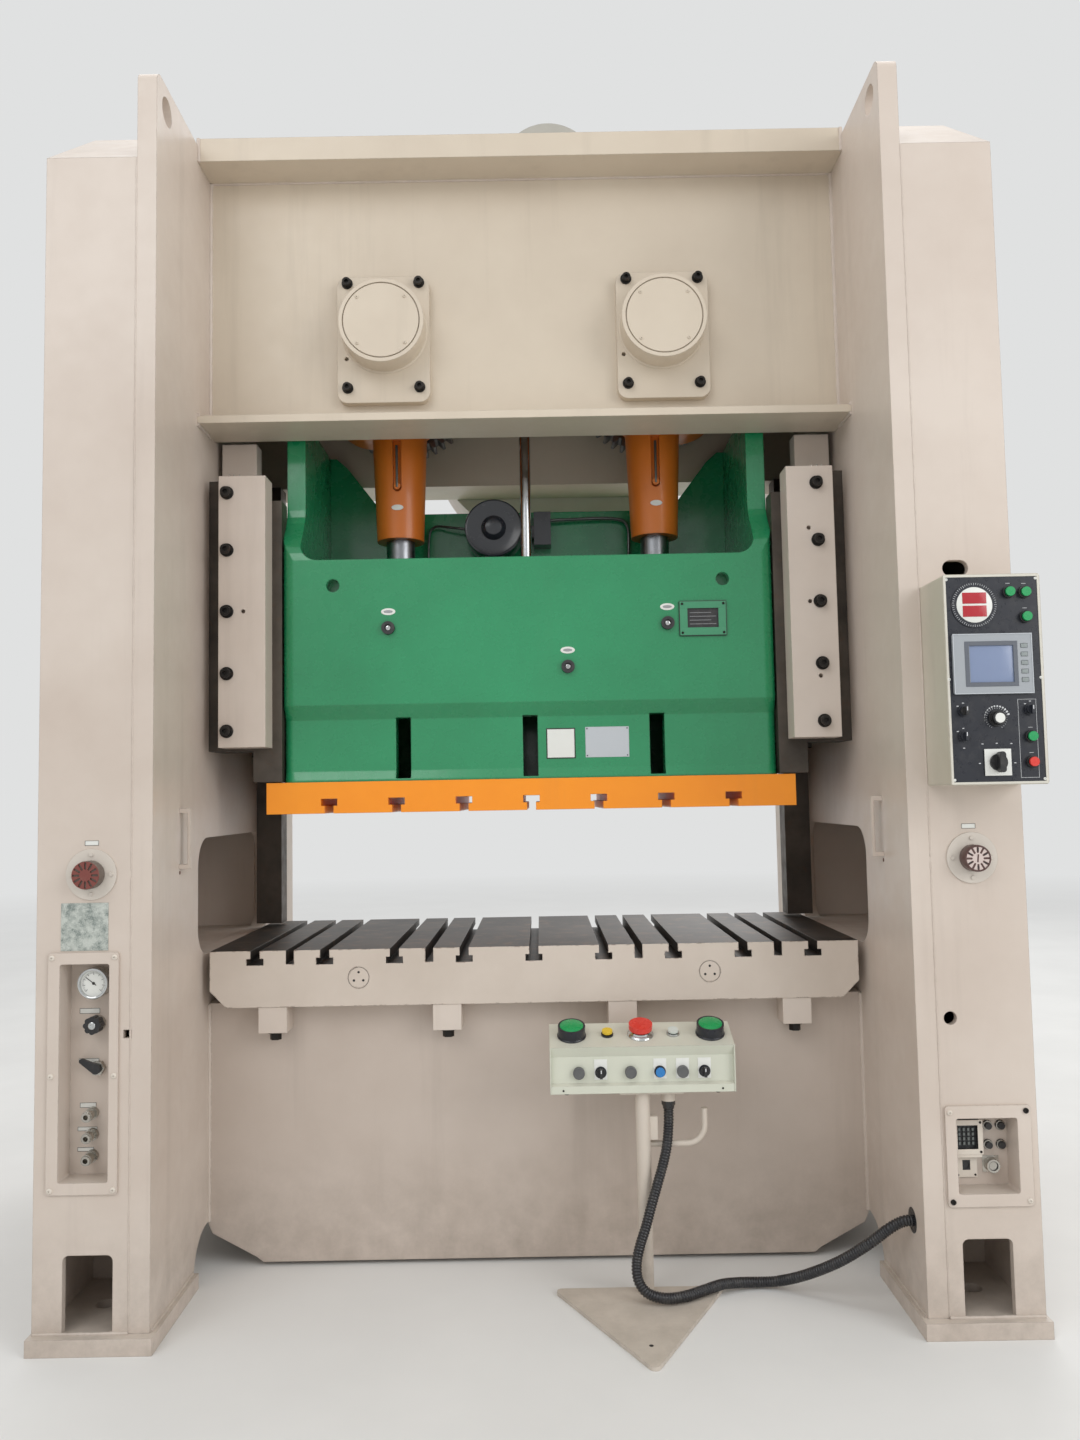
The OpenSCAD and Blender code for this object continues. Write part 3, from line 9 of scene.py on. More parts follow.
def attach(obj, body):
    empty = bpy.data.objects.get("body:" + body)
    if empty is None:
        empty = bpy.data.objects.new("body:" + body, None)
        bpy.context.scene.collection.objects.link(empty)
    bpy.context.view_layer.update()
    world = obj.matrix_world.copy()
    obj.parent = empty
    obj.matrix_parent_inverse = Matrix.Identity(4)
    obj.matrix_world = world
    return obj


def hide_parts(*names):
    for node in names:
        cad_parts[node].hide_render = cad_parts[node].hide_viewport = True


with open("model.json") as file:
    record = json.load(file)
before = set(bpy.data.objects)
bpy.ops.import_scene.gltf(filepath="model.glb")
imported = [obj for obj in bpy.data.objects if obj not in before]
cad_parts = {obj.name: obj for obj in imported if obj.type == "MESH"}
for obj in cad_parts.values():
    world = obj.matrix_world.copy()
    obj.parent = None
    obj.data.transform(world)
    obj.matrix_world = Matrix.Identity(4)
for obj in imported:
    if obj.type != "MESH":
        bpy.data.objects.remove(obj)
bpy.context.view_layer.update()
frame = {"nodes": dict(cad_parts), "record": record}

MM = 0.001

# Camera, at the photograph's viewing angle

CAMERA_PLACE = (0.0264, -3.4646, 1.2960)
CAMERA_PITCH = math.radians(3.955)
CAMERA_YAW = math.radians(-0.042)
CAMERA_ROLL = math.radians(-1.041)
CAMERA_LENS = 27.49

camera_data = bpy.data.cameras.new("camera")
camera_data.sensor_width = 36.0
camera_data.lens = CAMERA_LENS
camera_data.clip_end = 200.0
camera = bpy.data.objects.new("camera", camera_data)
bpy.context.scene.collection.objects.link(camera)
camera.matrix_world = (
    Matrix.Translation(CAMERA_PLACE)
    @ Matrix.Rotation(CAMERA_YAW, 4, "Z")
    @ Matrix.Rotation(math.pi / 2 + CAMERA_PITCH, 4, "X")
    @ Matrix.Rotation(CAMERA_ROLL, 4, "Z")
)
bpy.context.scene.camera = camera


# Material helpers


def linear(r, g, b):
    """A colour written as 0 to 255 in sRGB, as the shader wants it."""
    def channel(v):
        v /= 255
        return v / 12.92 if v <= 0.04045 else ((v + 0.055) / 1.055) ** 2.4
    return (channel(r), channel(g), channel(b), 1.0)


class Finish:
    """A material under construction: short names for the nodes that the finishes share."""

    def __init__(self, name):
        self.material = bpy.data.materials.new(name)
        self.material.use_nodes = True
        self.tree = self.material.node_tree
        self.shader = self.tree.nodes["Principled BSDF"]
        self.place = self.node("ShaderNodeTexCoord").outputs["Object"]

    def node(self, kind, **settings):
        made = self.tree.nodes.new(kind)
        for key, value in settings.items():
            setattr(made, key, value)
        return made

    def put(self, value, socket):
        """Links an output to a socket, or sets the socket to a plain value."""
        if isinstance(value, bpy.types.NodeSocket):
            self.tree.links.new(value, socket)
        else:
            socket.default_value = value

    def stretched(self, x, y, z):
        mapping = self.node("ShaderNodeMapping")
        mapping.inputs["Scale"].default_value = (x, y, z)
        self.put(self.place, mapping.inputs["Vector"])
        return mapping.outputs["Vector"]

    def noise(self, scale, detail=4.0, rough=0.55, vector=None):
        made = self.node("ShaderNodeTexNoise")
        self.put(vector or self.place, made.inputs["Vector"])
        made.inputs["Scale"].default_value = scale
        made.inputs["Detail"].default_value = detail
        made.inputs["Roughness"].default_value = rough
        return made.outputs["Fac"]

    def cells(self, scale, vector=None):
        made = self.node("ShaderNodeTexVoronoi")
        self.put(vector or self.place, made.inputs["Vector"])
        made.inputs["Scale"].default_value = scale
        return made.outputs["Distance"]

    def fade(self, value, low, high, to_low=0.0, to_high=1.0):
        """Maps a value from low..high to to_low..to_high, held at the ends."""
        made = self.node("ShaderNodeMapRange")
        made.clamp = True
        self.put(value, made.inputs["Value"])
        made.inputs["From Min"].default_value = low
        made.inputs["From Max"].default_value = high
        made.inputs["To Min"].default_value = to_low
        made.inputs["To Max"].default_value = to_high
        return made.outputs["Result"]

    def math(self, operation, a, b=0.0):
        made = self.node("ShaderNodeMath", operation=operation)
        self.put(a, made.inputs[0])
        self.put(b, made.inputs[1])
        return made.outputs[0]

    def mix(self, share, a, b):
        made = self.node("ShaderNodeMix", data_type="RGBA")
        self.put(share, made.inputs[0])
        self.put(a, made.inputs[6])
        self.put(b, made.inputs[7])
        return made.outputs[2]

    def height_above(self, low, high):
        """0 below low and 1 above high, by the height in the machine."""
        parts = self.node("ShaderNodeSeparateXYZ")
        self.put(self.place, parts.inputs[0])
        return self.fade(parts.outputs["Z"], low, high)

    def facing_up(self):
        """1 on faces that look up, 0 on the others."""
        geometry = self.node("ShaderNodeNewGeometry")
        parts = self.node("ShaderNodeSeparateXYZ")
        self.put(geometry.outputs["Normal"], parts.inputs[0])
        return self.fade(parts.outputs["Z"], 0.6, 0.95)

    def edges(self, radius, low=0.04, high=0.5):
        """1 along sharp edges, 0 elsewhere."""
        bevel = self.node("ShaderNodeBevel", samples=4)
        bevel.inputs["Radius"].default_value = radius
        geometry = self.node("ShaderNodeNewGeometry")
        dot = self.node("ShaderNodeVectorMath", operation="DOT_PRODUCT")
        self.put(bevel.outputs["Normal"], dot.inputs[0])
        self.put(geometry.outputs["Normal"], dot.inputs[1])
        return self.fade(self.math("SUBTRACT", 1.0, dot.outputs["Value"]), low * 0.3, high * 0.3)

    def bump(self, height, strength, distance, rounding=0.0):
        made = self.node("ShaderNodeBump")
        self.put(height, made.inputs["Height"])
        made.inputs["Strength"].default_value = strength
        made.inputs["Distance"].default_value = distance
        if rounding:
            bevel = self.node("ShaderNodeBevel", samples=4)
            bevel.inputs["Radius"].default_value = rounding
            self.put(bevel.outputs["Normal"], made.inputs["Normal"])
        self.put(made.outputs["Normal"], self.shader.inputs["Normal"])

    def colour(self, value):
        self.put(value, self.shader.inputs["Base Color"])

    def rough(self, value):
        self.put(value, self.shader.inputs["Roughness"])

    def metal(self, value):
        self.put(value, self.shader.inputs["Metallic"])

    def coat(self, weight, rough):
        self.shader.inputs["Coat Weight"].default_value = weight
        self.shader.inputs["Coat Roughness"].default_value = rough


# Finishes

GRIME = linear(96, 84, 70)
FLOOR_DIRT = linear(110, 100, 88)
DIRT_HEIGHT = (0.02, 0.35)
SETTLED_DUST = linear(190, 182, 170)
RUST = linear(98, 70, 50)
MOST_WORN_EDGE = 0.003

# Where the bolster's paint ends, in metres: by height and by distance from the middle
BOLSTER_PAINTED_BELOW = (0.775, 0.779)
BOLSTER_PAINTED_OUTSIDE = (0.853, 0.856)


def enamel(name, tint, shade, rough=0.38, dirt=0.25, gloss=0.0, rounding=0.003, dust=0.35):
    """Brushed or sprayed machine enamel, with faint clouds, streaks, dust on top and worn edges."""
    f = Finish(name)
    clouds = f.noise(1.7, 6.0, 0.6)
    body = f.mix(f.fade(clouds, 0.35, 0.68), tint, shade)
    streaks = f.noise(9.0, 5.0, 0.65, f.stretched(1.0, 1.0, 0.06))
    grime = f.mix(0.55, shade, GRIME)
    streak_share = f.math("MULTIPLY", f.fade(streaks, 0.56, 0.8), dirt)
    body = f.mix(streak_share, body, grime)
    specks = f.fade(f.cells(55.0), 0.02, 0.07, 0.5, 0.0)
    speck_share = f.math("MULTIPLY", specks, f.fade(f.noise(5.0), 0.55, 0.7, 0.0, dirt))
    body = f.mix(speck_share, body, linear(92, 78, 62))
    low = f.math("SUBTRACT", 1.0, f.height_above(*DIRT_HEIGHT))
    foot = f.math("MULTIPLY", low, f.fade(f.noise(14.0, 6.0, 0.7), 0.35, 0.7, 0.1, 0.75))
    body = f.mix(f.math("MULTIPLY", foot, dirt * 2.0), body, FLOOR_DIRT)
    dusty = f.math("MULTIPLY", f.facing_up(), dust)
    body = f.mix(dusty, body, SETTLED_DUST)
    edge = f.edges(min(rounding * 1.4, MOST_WORN_EDGE))
    worn = f.math("MULTIPLY", edge, f.fade(f.noise(60.0, 3.0), 0.45, 0.62, 0.0, 0.55))
    body = f.mix(worn, body, f.mix(0.5, shade, linear(120, 106, 92)))
    f.colour(body)
    f.rough(f.fade(f.noise(22.0, 3.0), 0.3, 0.7, rough - 0.06, rough + 0.08))
    f.coat(gloss, 0.12)
    waves = f.math("MULTIPLY", f.noise(3.2, 2.0), 0.7)
    skin = f.math("ADD", waves, f.math("MULTIPLY", f.noise(260.0, 2.0), 0.05))
    f.bump(skin, 0.22, 0.003, rounding)
    return f.material


def steel(name, tint, shade, rough=0.35, metallic=1.0, stain=0.3, rounding=0.002):
    """Bare machined or oiled steel, with soft stains and fine tool marks."""
    f = Finish(name)
    clouds = f.fade(f.noise(6.0, 6.0, 0.6), 0.35, 0.7)
    body = f.mix(clouds, tint, shade)
    spots = f.fade(f.noise(38.0, 4.0, 0.7), 0.58, 0.72, 0.0, stain)
    body = f.mix(spots, body, RUST)
    f.colour(body)
    f.metal(metallic)
    f.rough(f.fade(f.noise(30.0, 4.0), 0.3, 0.7, rough - 0.08, rough + 0.12))
    marks = f.noise(90.0, 2.0, 0.5, f.stretched(1.0, 14.0, 1.0))
    f.bump(marks, 0.12, 0.0006, rounding)
    return f.material


def plastic(name, tint, rough=0.35, speckle=0.08, rounding=0.0012):
    """Moulded plastic or rubber, a little dusty."""
    f = Finish(name)
    dust = f.fade(f.noise(45.0, 5.0, 0.7), 0.5, 0.75, 0.0, speckle)
    f.colour(f.mix(dust, tint, linear(178, 172, 160)))
    f.rough(f.fade(f.noise(60.0, 3.0), 0.3, 0.7, rough - 0.04, rough + 0.1))
    f.bump(f.noise(600.0, 2.0), 0.12, 0.0002, rounding)
    return f.material


def bolster_finish(name):
    """Dark ground top with oil and rust bloom, and beige enamel on the sides."""
    f = Finish(name)
    top = f.mix(f.fade(f.noise(5.0, 6.0, 0.65), 0.35, 0.68), linear(84, 78, 72), linear(56, 52, 49))
    bloom = f.fade(f.noise(18.0, 5.0, 0.7), 0.52, 0.7, 0.0, 0.55)
    top = f.mix(bloom, top, linear(128, 106, 84))
    side = f.mix(f.fade(f.noise(2.2, 6.0, 0.6), 0.35, 0.68), linear(211, 199, 187), linear(197, 184, 171))
    chips = f.math("MULTIPLY", f.edges(0.006), f.fade(f.noise(32.0, 4.0, 0.7), 0.5, 0.6))
    side = f.mix(chips, side, linear(92, 70, 54))
    parts = f.node("ShaderNodeSeparateXYZ")
    geometry = f.node("ShaderNodeNewGeometry")
    f.put(geometry.outputs["Normal"], parts.inputs[0])
    frontal = f.fade(f.math("ABSOLUTE", parts.outputs["Y"]), 0.4, 0.6)
    place = f.node("ShaderNodeSeparateXYZ")
    f.put(f.place, place.inputs[0])
    outer = f.fade(f.math("ABSOLUTE", place.outputs["X"]), *BOLSTER_PAINTED_OUTSIDE)
    below = f.fade(place.outputs["Z"], *BOLSTER_PAINTED_BELOW, 1.0, 0.0)
    upright = f.math("SUBTRACT", 1.0, f.facing_up())
    coated = f.math("MAXIMUM", frontal, f.math("MULTIPLY", outer, upright))
    coated = f.math("MAXIMUM", coated, below)
    f.colour(f.mix(coated, top, side))
    f.metal(f.math("MULTIPLY", f.math("SUBTRACT", 1.0, coated), 0.55))
    f.rough(f.fade(coated, 0.0, 1.0, 0.46, 0.42))
    f.bump(f.noise(120.0, 3.0), 0.12, 0.0008, 0.002)
    return f.material


def weathered_finish(name):
    """A bare sheet metal plate whose pale film has gone mottled."""
    f = Finish(name)
    patches = f.fade(f.noise(34.0, 6.0, 0.72), 0.42, 0.6)
    body = f.mix(patches, linear(188, 193, 186), linear(120, 130, 125))
    flecks = f.fade(f.cells(420.0, f.stretched(1.0, 1.0, 0.7)), 0.25, 0.4, 0.5, 0.0)
    f.colour(f.mix(flecks, body, linear(212, 216, 210)))
    f.rough(f.fade(patches, 0.0, 1.0, 0.6, 0.42))
    f.bump(f.noise(300.0, 3.0), 0.3, 0.0004)
    return f.material


def painted(tint, shade, **look):
    return lambda name: enamel(name, linear(*tint), linear(*shade), **look)


def bare(tint, shade, **look):
    return lambda name: steel(name, linear(*tint), linear(*shade), **look)


def moulded(tint, **look):
    return lambda name: plastic(name, linear(*tint), **look)


# The record's material slots first, then the looks of small parts that share a slot
FINISHES = {
    "beige_paint": painted((212, 200, 189), (200, 186, 174)),
    "crown_paint": painted((212, 200, 182), (202, 189, 171)),
    "bolster_steel": bolster_finish,
    "black_bolts": bare((52, 49, 46), (34, 32, 31), rough=0.42, metallic=0.7),
    "dark_steel": bare((92, 84, 76), (62, 57, 52), rough=0.48, metallic=0.6),
    "cylinder_grey": painted((122, 126, 130), (106, 110, 114)),
    "motor_paint": painted((178, 176, 168), (160, 158, 150)),
    "belt_rubber": moulded((38, 38, 40), rough=0.6),
    "fitting_metal": bare((196, 192, 184), (164, 160, 152), rough=0.28, stain=0.1, rounding=0.001),
    "dial_metal": painted((214, 206, 196), (202, 193, 182), rounding=0.0015),
    "socket_black": moulded((46, 46, 48), rough=0.45),
    "box_paint": painted((203, 197, 182), (192, 185, 170), rounding=0.002),
    "face_black": moulded((30, 33, 42), rough=0.28, speckle=0.05),
    "screen_frame": moulded((158, 163, 168), rough=0.4),
    "console_paint": painted((214, 216, 200), (203, 205, 190), rounding=0.002),
    "stand_paint": painted((214, 204, 192), (200, 189, 176), rounding=0.002),
    "conduit_black": moulded((38, 38, 41), rough=0.24, speckle=0.1),
    "slide_green": painted(
        (32, 144, 93), (24, 130, 82), rough=0.26, dirt=0.06, gloss=0.55, rounding=0.006, dust=0.08),
    "plate_orange": painted((253, 155, 22), (243, 142, 14), dirt=0.12, gloss=0.12, dust=0.1),
    "rod_orange": painted(
        (222, 122, 38), (202, 106, 30), dirt=0.15, gloss=0.2, rounding=0.004, dust=0.1),
    "bright_steel": bare((150, 152, 156), (112, 114, 118), rough=0.3),
    "chrome_rod": bare((208, 210, 213), (184, 186, 190), rough=0.16, stain=0.05),
    "forged_steel": bare((132, 134, 138), (104, 106, 110), rough=0.36),
    "iron_grey": bare((112, 115, 119), (88, 91, 95), rough=0.5, metallic=0.8),
    "button_green": moulded((26, 152, 86), rough=0.25, speckle=0.04),
    "button_red": moulded((214, 58, 48), rough=0.25, speckle=0.04),
    "button_yellow": moulded((224, 190, 52), rough=0.28, speckle=0.04),
    "lamp_clear": moulded((206, 212, 206), rough=0.14, speckle=0.02),
    "button_blue": moulded((40, 122, 190), rough=0.25, speckle=0.04),
    "knob_black": moulded((34, 34, 36)),
    "dial_red": moulded((122, 62, 54), rough=0.4),
    "dial_pale": moulded((206, 190, 184), rough=0.4),
    # Darker beige for the bed alone: painted shade under the overhang above it
    "bed_painted_shade": painted((200, 187, 176), (188, 174, 162)),
    "legend_white": moulded((226, 227, 222), rough=0.4, speckle=0.06),
    "mark_white": moulded((214, 216, 218), rough=0.45, speckle=0.03),
    "mark_dark": moulded((34, 32, 32), rough=0.5, speckle=0.06),
    "mark_grey": moulded((150, 152, 154), rough=0.4, speckle=0.05),
    "plug_grey": moulded((92, 93, 94), rough=0.45, speckle=0.1),
    "bezel_chrome": bare((204, 206, 206), (176, 178, 178), rough=0.14, stain=0.04, rounding=0.0005),
    "bezel_dark": moulded((92, 97, 106), speckle=0.04),
    "bezel_light": moulded((190, 195, 200), speckle=0.04),
    "key_grey": moulded((138, 146, 146), rough=0.4, speckle=0.06),
    "rim_pale": painted((214, 211, 200), (204, 200, 188), rounding=0.001),
    "window_red": moulded((176, 42, 52), rough=0.14, speckle=0.02),
    "screen_blue": moulded((128, 142, 172), rough=0.1, speckle=0.03),
    "screw_painted": painted((222, 214, 202), (208, 198, 186), rounding=0.0008),
    "dial_brown": moulded((84, 58, 54)),
    "dial_grime": moulded((104, 92, 84), rough=0.5, speckle=0.2),
    "plate_green": painted(
        (70, 152, 112), (60, 138, 100), rough=0.35, dirt=0.1, gloss=0.2, rounding=0.001),
    "pipe_grey": bare((120, 124, 122), (96, 100, 98), metallic=0.8, stain=0.1, rounding=0.0005),
    "dark_gloss": painted(
        (52, 55, 62), (42, 45, 52), rough=0.22, dirt=0.1, gloss=0.4, rounding=0.002, dust=0.1),
    "rust_spot": moulded((96, 60, 42), rough=0.7, speckle=0.1),
    "weathered_plate": weathered_finish,
}

# Nodes that look different from their record slot's plain finish; the bed's darker beige is painted shade
# under the overhang above it
NODE_LOOKS = {"adjust_drive": "dark_gloss", "bed": "bed_painted_shade"}

made = {}


def finish(slot):
    if slot not in made:
        made[slot] = FINISHES[slot](slot)
    return made[slot]


for part in frame["record"]["subparts"]:
    node = frame["nodes"][part["node"]]
    node.data.materials.clear()
    node.data.materials.append(finish(NODE_LOOKS.get(part["node"], part["material_slot"])))


# Shape helpers


def piece(name, mesh, slot, body="frame", material=None, smooth=30.0):
    """An object with a mesh, a finish and the body that it moves with."""
    made_object = bpy.data.objects.new(name, mesh)
    bpy.context.scene.collection.objects.link(made_object)
    mesh.materials.clear()
    mesh.materials.append(material or finish(slot))
    if smooth:
        mesh.shade_smooth()
        mesh.set_sharp_from_angle(angle=math.radians(smooth))
    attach(made_object, body)
    return made_object


def smooth_route(points, step):
    """Points about step apart along a smooth curve through the given ones."""
    ends = [points[0] * 2 - points[1], *points, points[-1] * 2 - points[-2]]
    fine = []
    for a, b, c, d in zip(ends, ends[1:], ends[2:], ends[3:]):
        count = max(2, round((c - b).length / step))
        for i in range(count):
            t = i / count
            fine.append(0.5 * (2 * b + (c - a) * t + (2 * a - 5 * b + 4 * c - d) * t * t
                + (3 * b - a - 3 * c + d) * t ** 3))
    return fine + [points[-1]]


def tube_rings(bm, route, radius_at, sides):
    """Adds a closed tube along a route; radius_at gives the radius at each ring's number."""
    rings = []
    side = Vector((0.94, 0.31, 0.15))
    for i, point in enumerate(route):
        ahead = (route[min(i + 1, len(route) - 1)] - route[max(i - 1, 0)]).normalized()
        side = (side - ahead * side.dot(ahead)).normalized()
        up = ahead.cross(side)
        turn = 2 * math.pi / sides
        rings.append([
            bm.verts.new(point + radius_at(i) * (math.cos(k * turn) * side + math.sin(k * turn) * up))
            for k in range(sides)
        ])
    for low, high in zip(rings, rings[1:]):
        for k in range(sides):
            j = (k + 1) % sides
            bm.faces.new((low[k], low[j], high[j], high[k]))
    bm.faces.new(list(reversed(rings[0])))
    bm.faces.new(rings[-1])


def swept(name, route, radius_at, sides):
    bm = bmesh.new()
    tube_rings(bm, route, radius_at, sides)
    mesh = bpy.data.meshes.new(name)
    bm.to_mesh(mesh)
    bm.free()
    return mesh


# Ribbed conduit, the one free cord

CONDUIT_ROUTE = [Vector(p) * MM for p in (
    (349, -500, 502), (349, -500, 470), (346, -514, 425), (338, -535, 380), (325, -544, 335),
    (309, -554, 290), (292, -560, 240), (276, -566, 190), (260, -568, 145), (250, -572, 102),
    (253, -582, 64), (275, -593, 38), (318, -598, 27), (370, -584, 25), (423, -552, 25),
    (475, -520, 25), (525, -500, 20), (575, -492, 17), (626, -504, 24), (688, -545, 56),
    (760, -600, 110), (824, -640, 168), (866, -664, 211), (896, -672, 231), (922, -673, 236),
    (944, -673, 236), (966, -673, 236))]
CONDUIT_WIDTH = 0.027
CONDUIT_SIDES = 16
RIB_STEP = 0.0024
RIB_RINGS = 3
RIB_GROOVE = 0.84


def conduit():
    route = smooth_route(CONDUIT_ROUTE, RIB_STEP)
    wide = CONDUIT_WIDTH / 2
    ribbed = lambda i: wide if i % RIB_RINGS else wide * RIB_GROOVE
    mesh = swept("conduit", route, ribbed, CONDUIT_SIDES)
    tube = piece("conduit", mesh, "conduit_black", smooth=60.0)
    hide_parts("console_conduit")


conduit()


# Details, in millimetres, gathered into one mesh for each finish and body

BEAD_STEP = 7.0
PIPE_STEP = 4.0
PIPE_SIDES = 12

# Front faces: control box, columns, recessed panels, slide, its lower band, crown and console
FACE_Y = -912.0
FRONT_Y = -760.0
TRAY_BACK = -698.0
SLIDE_Y = -318.0
BAND_Y = -288.0
WEB_Y = -304.0
PANEL_Y = -546.0
OUT = (0, -1, 0)
BACK = (0, 1, 0)
DOWN = (0, 0, -1)
UP = (0, 0, 1)

# Inner face of the columns, and the hole for the conduit in the right one
INNER_X = 925
CONDUIT_HOLE = (INNER_X, -673, 236)

# Slanted top of the console: the Y and Z of its middle line, and its slope
CONSOLE_TOP = (-505, 662.5)
CONSOLE_SLOPE = 39 / 110

# Centre of the right crank's bearing; the left one mirrors it
CRANK_X = 405
CRANK_Z = 2660


def six_sided(turn):
    """Share of a hexagon's corner radius at a turn."""
    return math.cos(math.pi / 6) / math.cos(turn % (math.pi / 3) - math.pi / 6)


def crossed(turn):
    """Share of a cross recess's reach at a turn."""
    off = abs((turn + math.pi / 4) % (math.pi / 2) - math.pi / 4)
    return 1.0 if off < 0.2 else 0.4


class Shape:
    """A mesh under construction, in millimetres."""

    def __init__(self):
        self.bm = bmesh.new()

    def turned(self, place, axis, rings, sides=24):
        """A closed form turned about an axis: rings of (radius, height[, outline])."""
        out = Vector(axis).normalized()
        side = Vector((0, 0, 1)) if abs(out.z) < 0.7 else Vector((1, 0, 0))
        side = (side - out * side.dot(out)).normalized()
        up = out.cross(side)
        loops = []
        for radius, height, *outline in rings:
            loop = []
            for k in range(sides):
                turn = 2 * math.pi * k / sides
                r = radius * (outline[0](turn) if outline else 1.0)
                loop.append(self.bm.verts.new(
                    Vector(place) + out * height + r * (math.cos(turn) * side + math.sin(turn) * up)))
            loops.append(loop)
        for low, high in zip(loops, loops[1:]):
            for k in range(sides):
                j = (k + 1) % sides
                self.bm.faces.new((low[k], low[j], high[j], high[k]))
        self.bm.faces.new(list(reversed(loops[0])))
        self.bm.faces.new(loops[-1])

    def box(self, low, high, edge=0.6, matrix=None):
        """A block between two corners, with its edges cut by edge, and then moved by matrix."""
        corners = [Vector((x, y, z)) for x in (low[0], high[0]) for y in (low[1], high[1])
            for z in (low[2], high[2])]
        if matrix:
            corners = [matrix @ corner for corner in corners]
        points = [self.bm.verts.new(corner) for corner in corners]
        sides = [self.bm.faces.new([points[i] for i in side]) for side in (
            (0, 1, 3, 2), (4, 6, 7, 5), (0, 4, 5, 1), (2, 3, 7, 6), (0, 2, 6, 4), (1, 5, 7, 3))]
        if edge:
            bmesh.ops.bevel(self.bm, geom=list({e for side in sides for e in side.edges}),
                offset=edge, segments=2, profile=0.7, affect="EDGES")

    def frame(self, low, high, y, width, depth):
        """A thin rectangular frame on an upright face at y."""
        for a, b in (
            ((low[0], low[1]), (low[0] + width, high[1])), ((high[0] - width, low[1]), (high[0], high[1])),
            ((low[0] + width, low[1]), (high[0] - width, low[1] + width)),
            ((low[0] + width, high[1] - width), (high[0] - width, high[1])),
        ):
            self.box((a[0], y - depth, a[1]), (b[0], y, b[1]), 0)

    def oval(self, x, z, y, half_w, half_h, depth):
        """A thin oval sticker on an upright face at y."""
        stretch = lambda turn: 1.0 / math.hypot(math.cos(turn) * half_w / half_h, math.sin(turn))
        self.turned((x, y, z), OUT, [(half_w, 0, stretch), (half_w, depth, stretch),
            (half_w - 0.6, depth + 0.3, stretch)], 32)

    def bead(self, a, b, radius):
        """A weld bead from a to b, with the ripples of its passes."""
        a, b = Vector(a), Vector(b)
        count = max(4, round((b - a).length / BEAD_STEP))
        route = [a.lerp(b, i / count) for i in range(count + 1)]
        ripple = lambda i: radius * (1.0 + 0.13 * math.sin(i * 2.4) + 0.1 * math.sin(i * 0.61 + a.x))
        tube_rings(self.bm, route, ripple, 8)

    def tube(self, points, radius):
        """A pipe along a smooth curve through the points."""
        route = smooth_route([Vector(p) for p in points], PIPE_STEP)
        tube_rings(self.bm, route, lambda i: radius, PIPE_SIDES)

    def done(self, name, slot, body, look):
        bmesh.ops.scale(self.bm, vec=(MM, MM, MM), verts=self.bm.verts)
        mesh = bpy.data.meshes.new(name)
        self.bm.to_mesh(mesh)
        self.bm.free()
        piece(name, mesh, slot, body, finish(look))


shapes = {}


def shape(name, slot, look=None, body="frame"):
    """The shape of that name; close_shapes() makes them all into pieces."""
    if name not in shapes:
        shapes[name] = (Shape(), slot, body, look or slot)
    return shapes[name][0]


def close_shapes():
    for name, (form, slot, body, look) in shapes.items():
        form.done(name, slot, body, look)


def pan_screw(form, place, r=7.5, axis=OUT):
    """Domed screw with a cross recess."""
    form.turned(place, axis, [(r, -1), (r, 0.22 * r), (0.86 * r, 0.42 * r), (0.55 * r, 0.58 * r),
        (0.5 * r, 0.58 * r, crossed), (0.42 * r, 0.2 * r, crossed)])


def cap_screw(form, place, r, h, axis=OUT):
    """Socket head screw with a hexagonal recess."""
    form.turned(place, axis, [(r, -1), (r, h * 0.86), (r * 0.92, h), (r * 0.6, h, six_sided),
        (r * 0.55, h * 0.4, six_sided)])


def turned_about(x, y, z, degrees):
    """A matrix that turns a mark about an axis from front to back, at a place."""
    return Matrix.Translation((x, y, z)) @ Matrix.Rotation(math.radians(degrees), 4, "Y")


def around(x, z, radius, count, first):
    """Places spread evenly on a circle about (x, z), from the first angle on, in degrees."""
    for k in range(count):
        turn = math.radians(first + 360 / count * k)
        yield x + radius * math.cos(turn), z + radius * math.sin(turn)


def on_top(x):
    """A place on the middle line of the console's slanted top, and the direction out of it."""
    tilt = math.atan(CONSOLE_SLOPE)
    return Vector((x, *CONSOLE_TOP)), Vector((0, -math.sin(tilt), math.cos(tilt)))


# Console

LEFT_SELECTOR_X = 170
RIGHT_SELECTOR_X = 440
PLUGS_X = (113, 248, 383)
PLUG_Z = 576
PALM_BUTTONS_X = (97, 463)
STOP_X = 279
LAMP_X = 365
GLAND = (349, -500, 492)
STAND = (STOP_X, -520)
STAND_WELD_RADIUS = 21
FOOT_TOP = 11


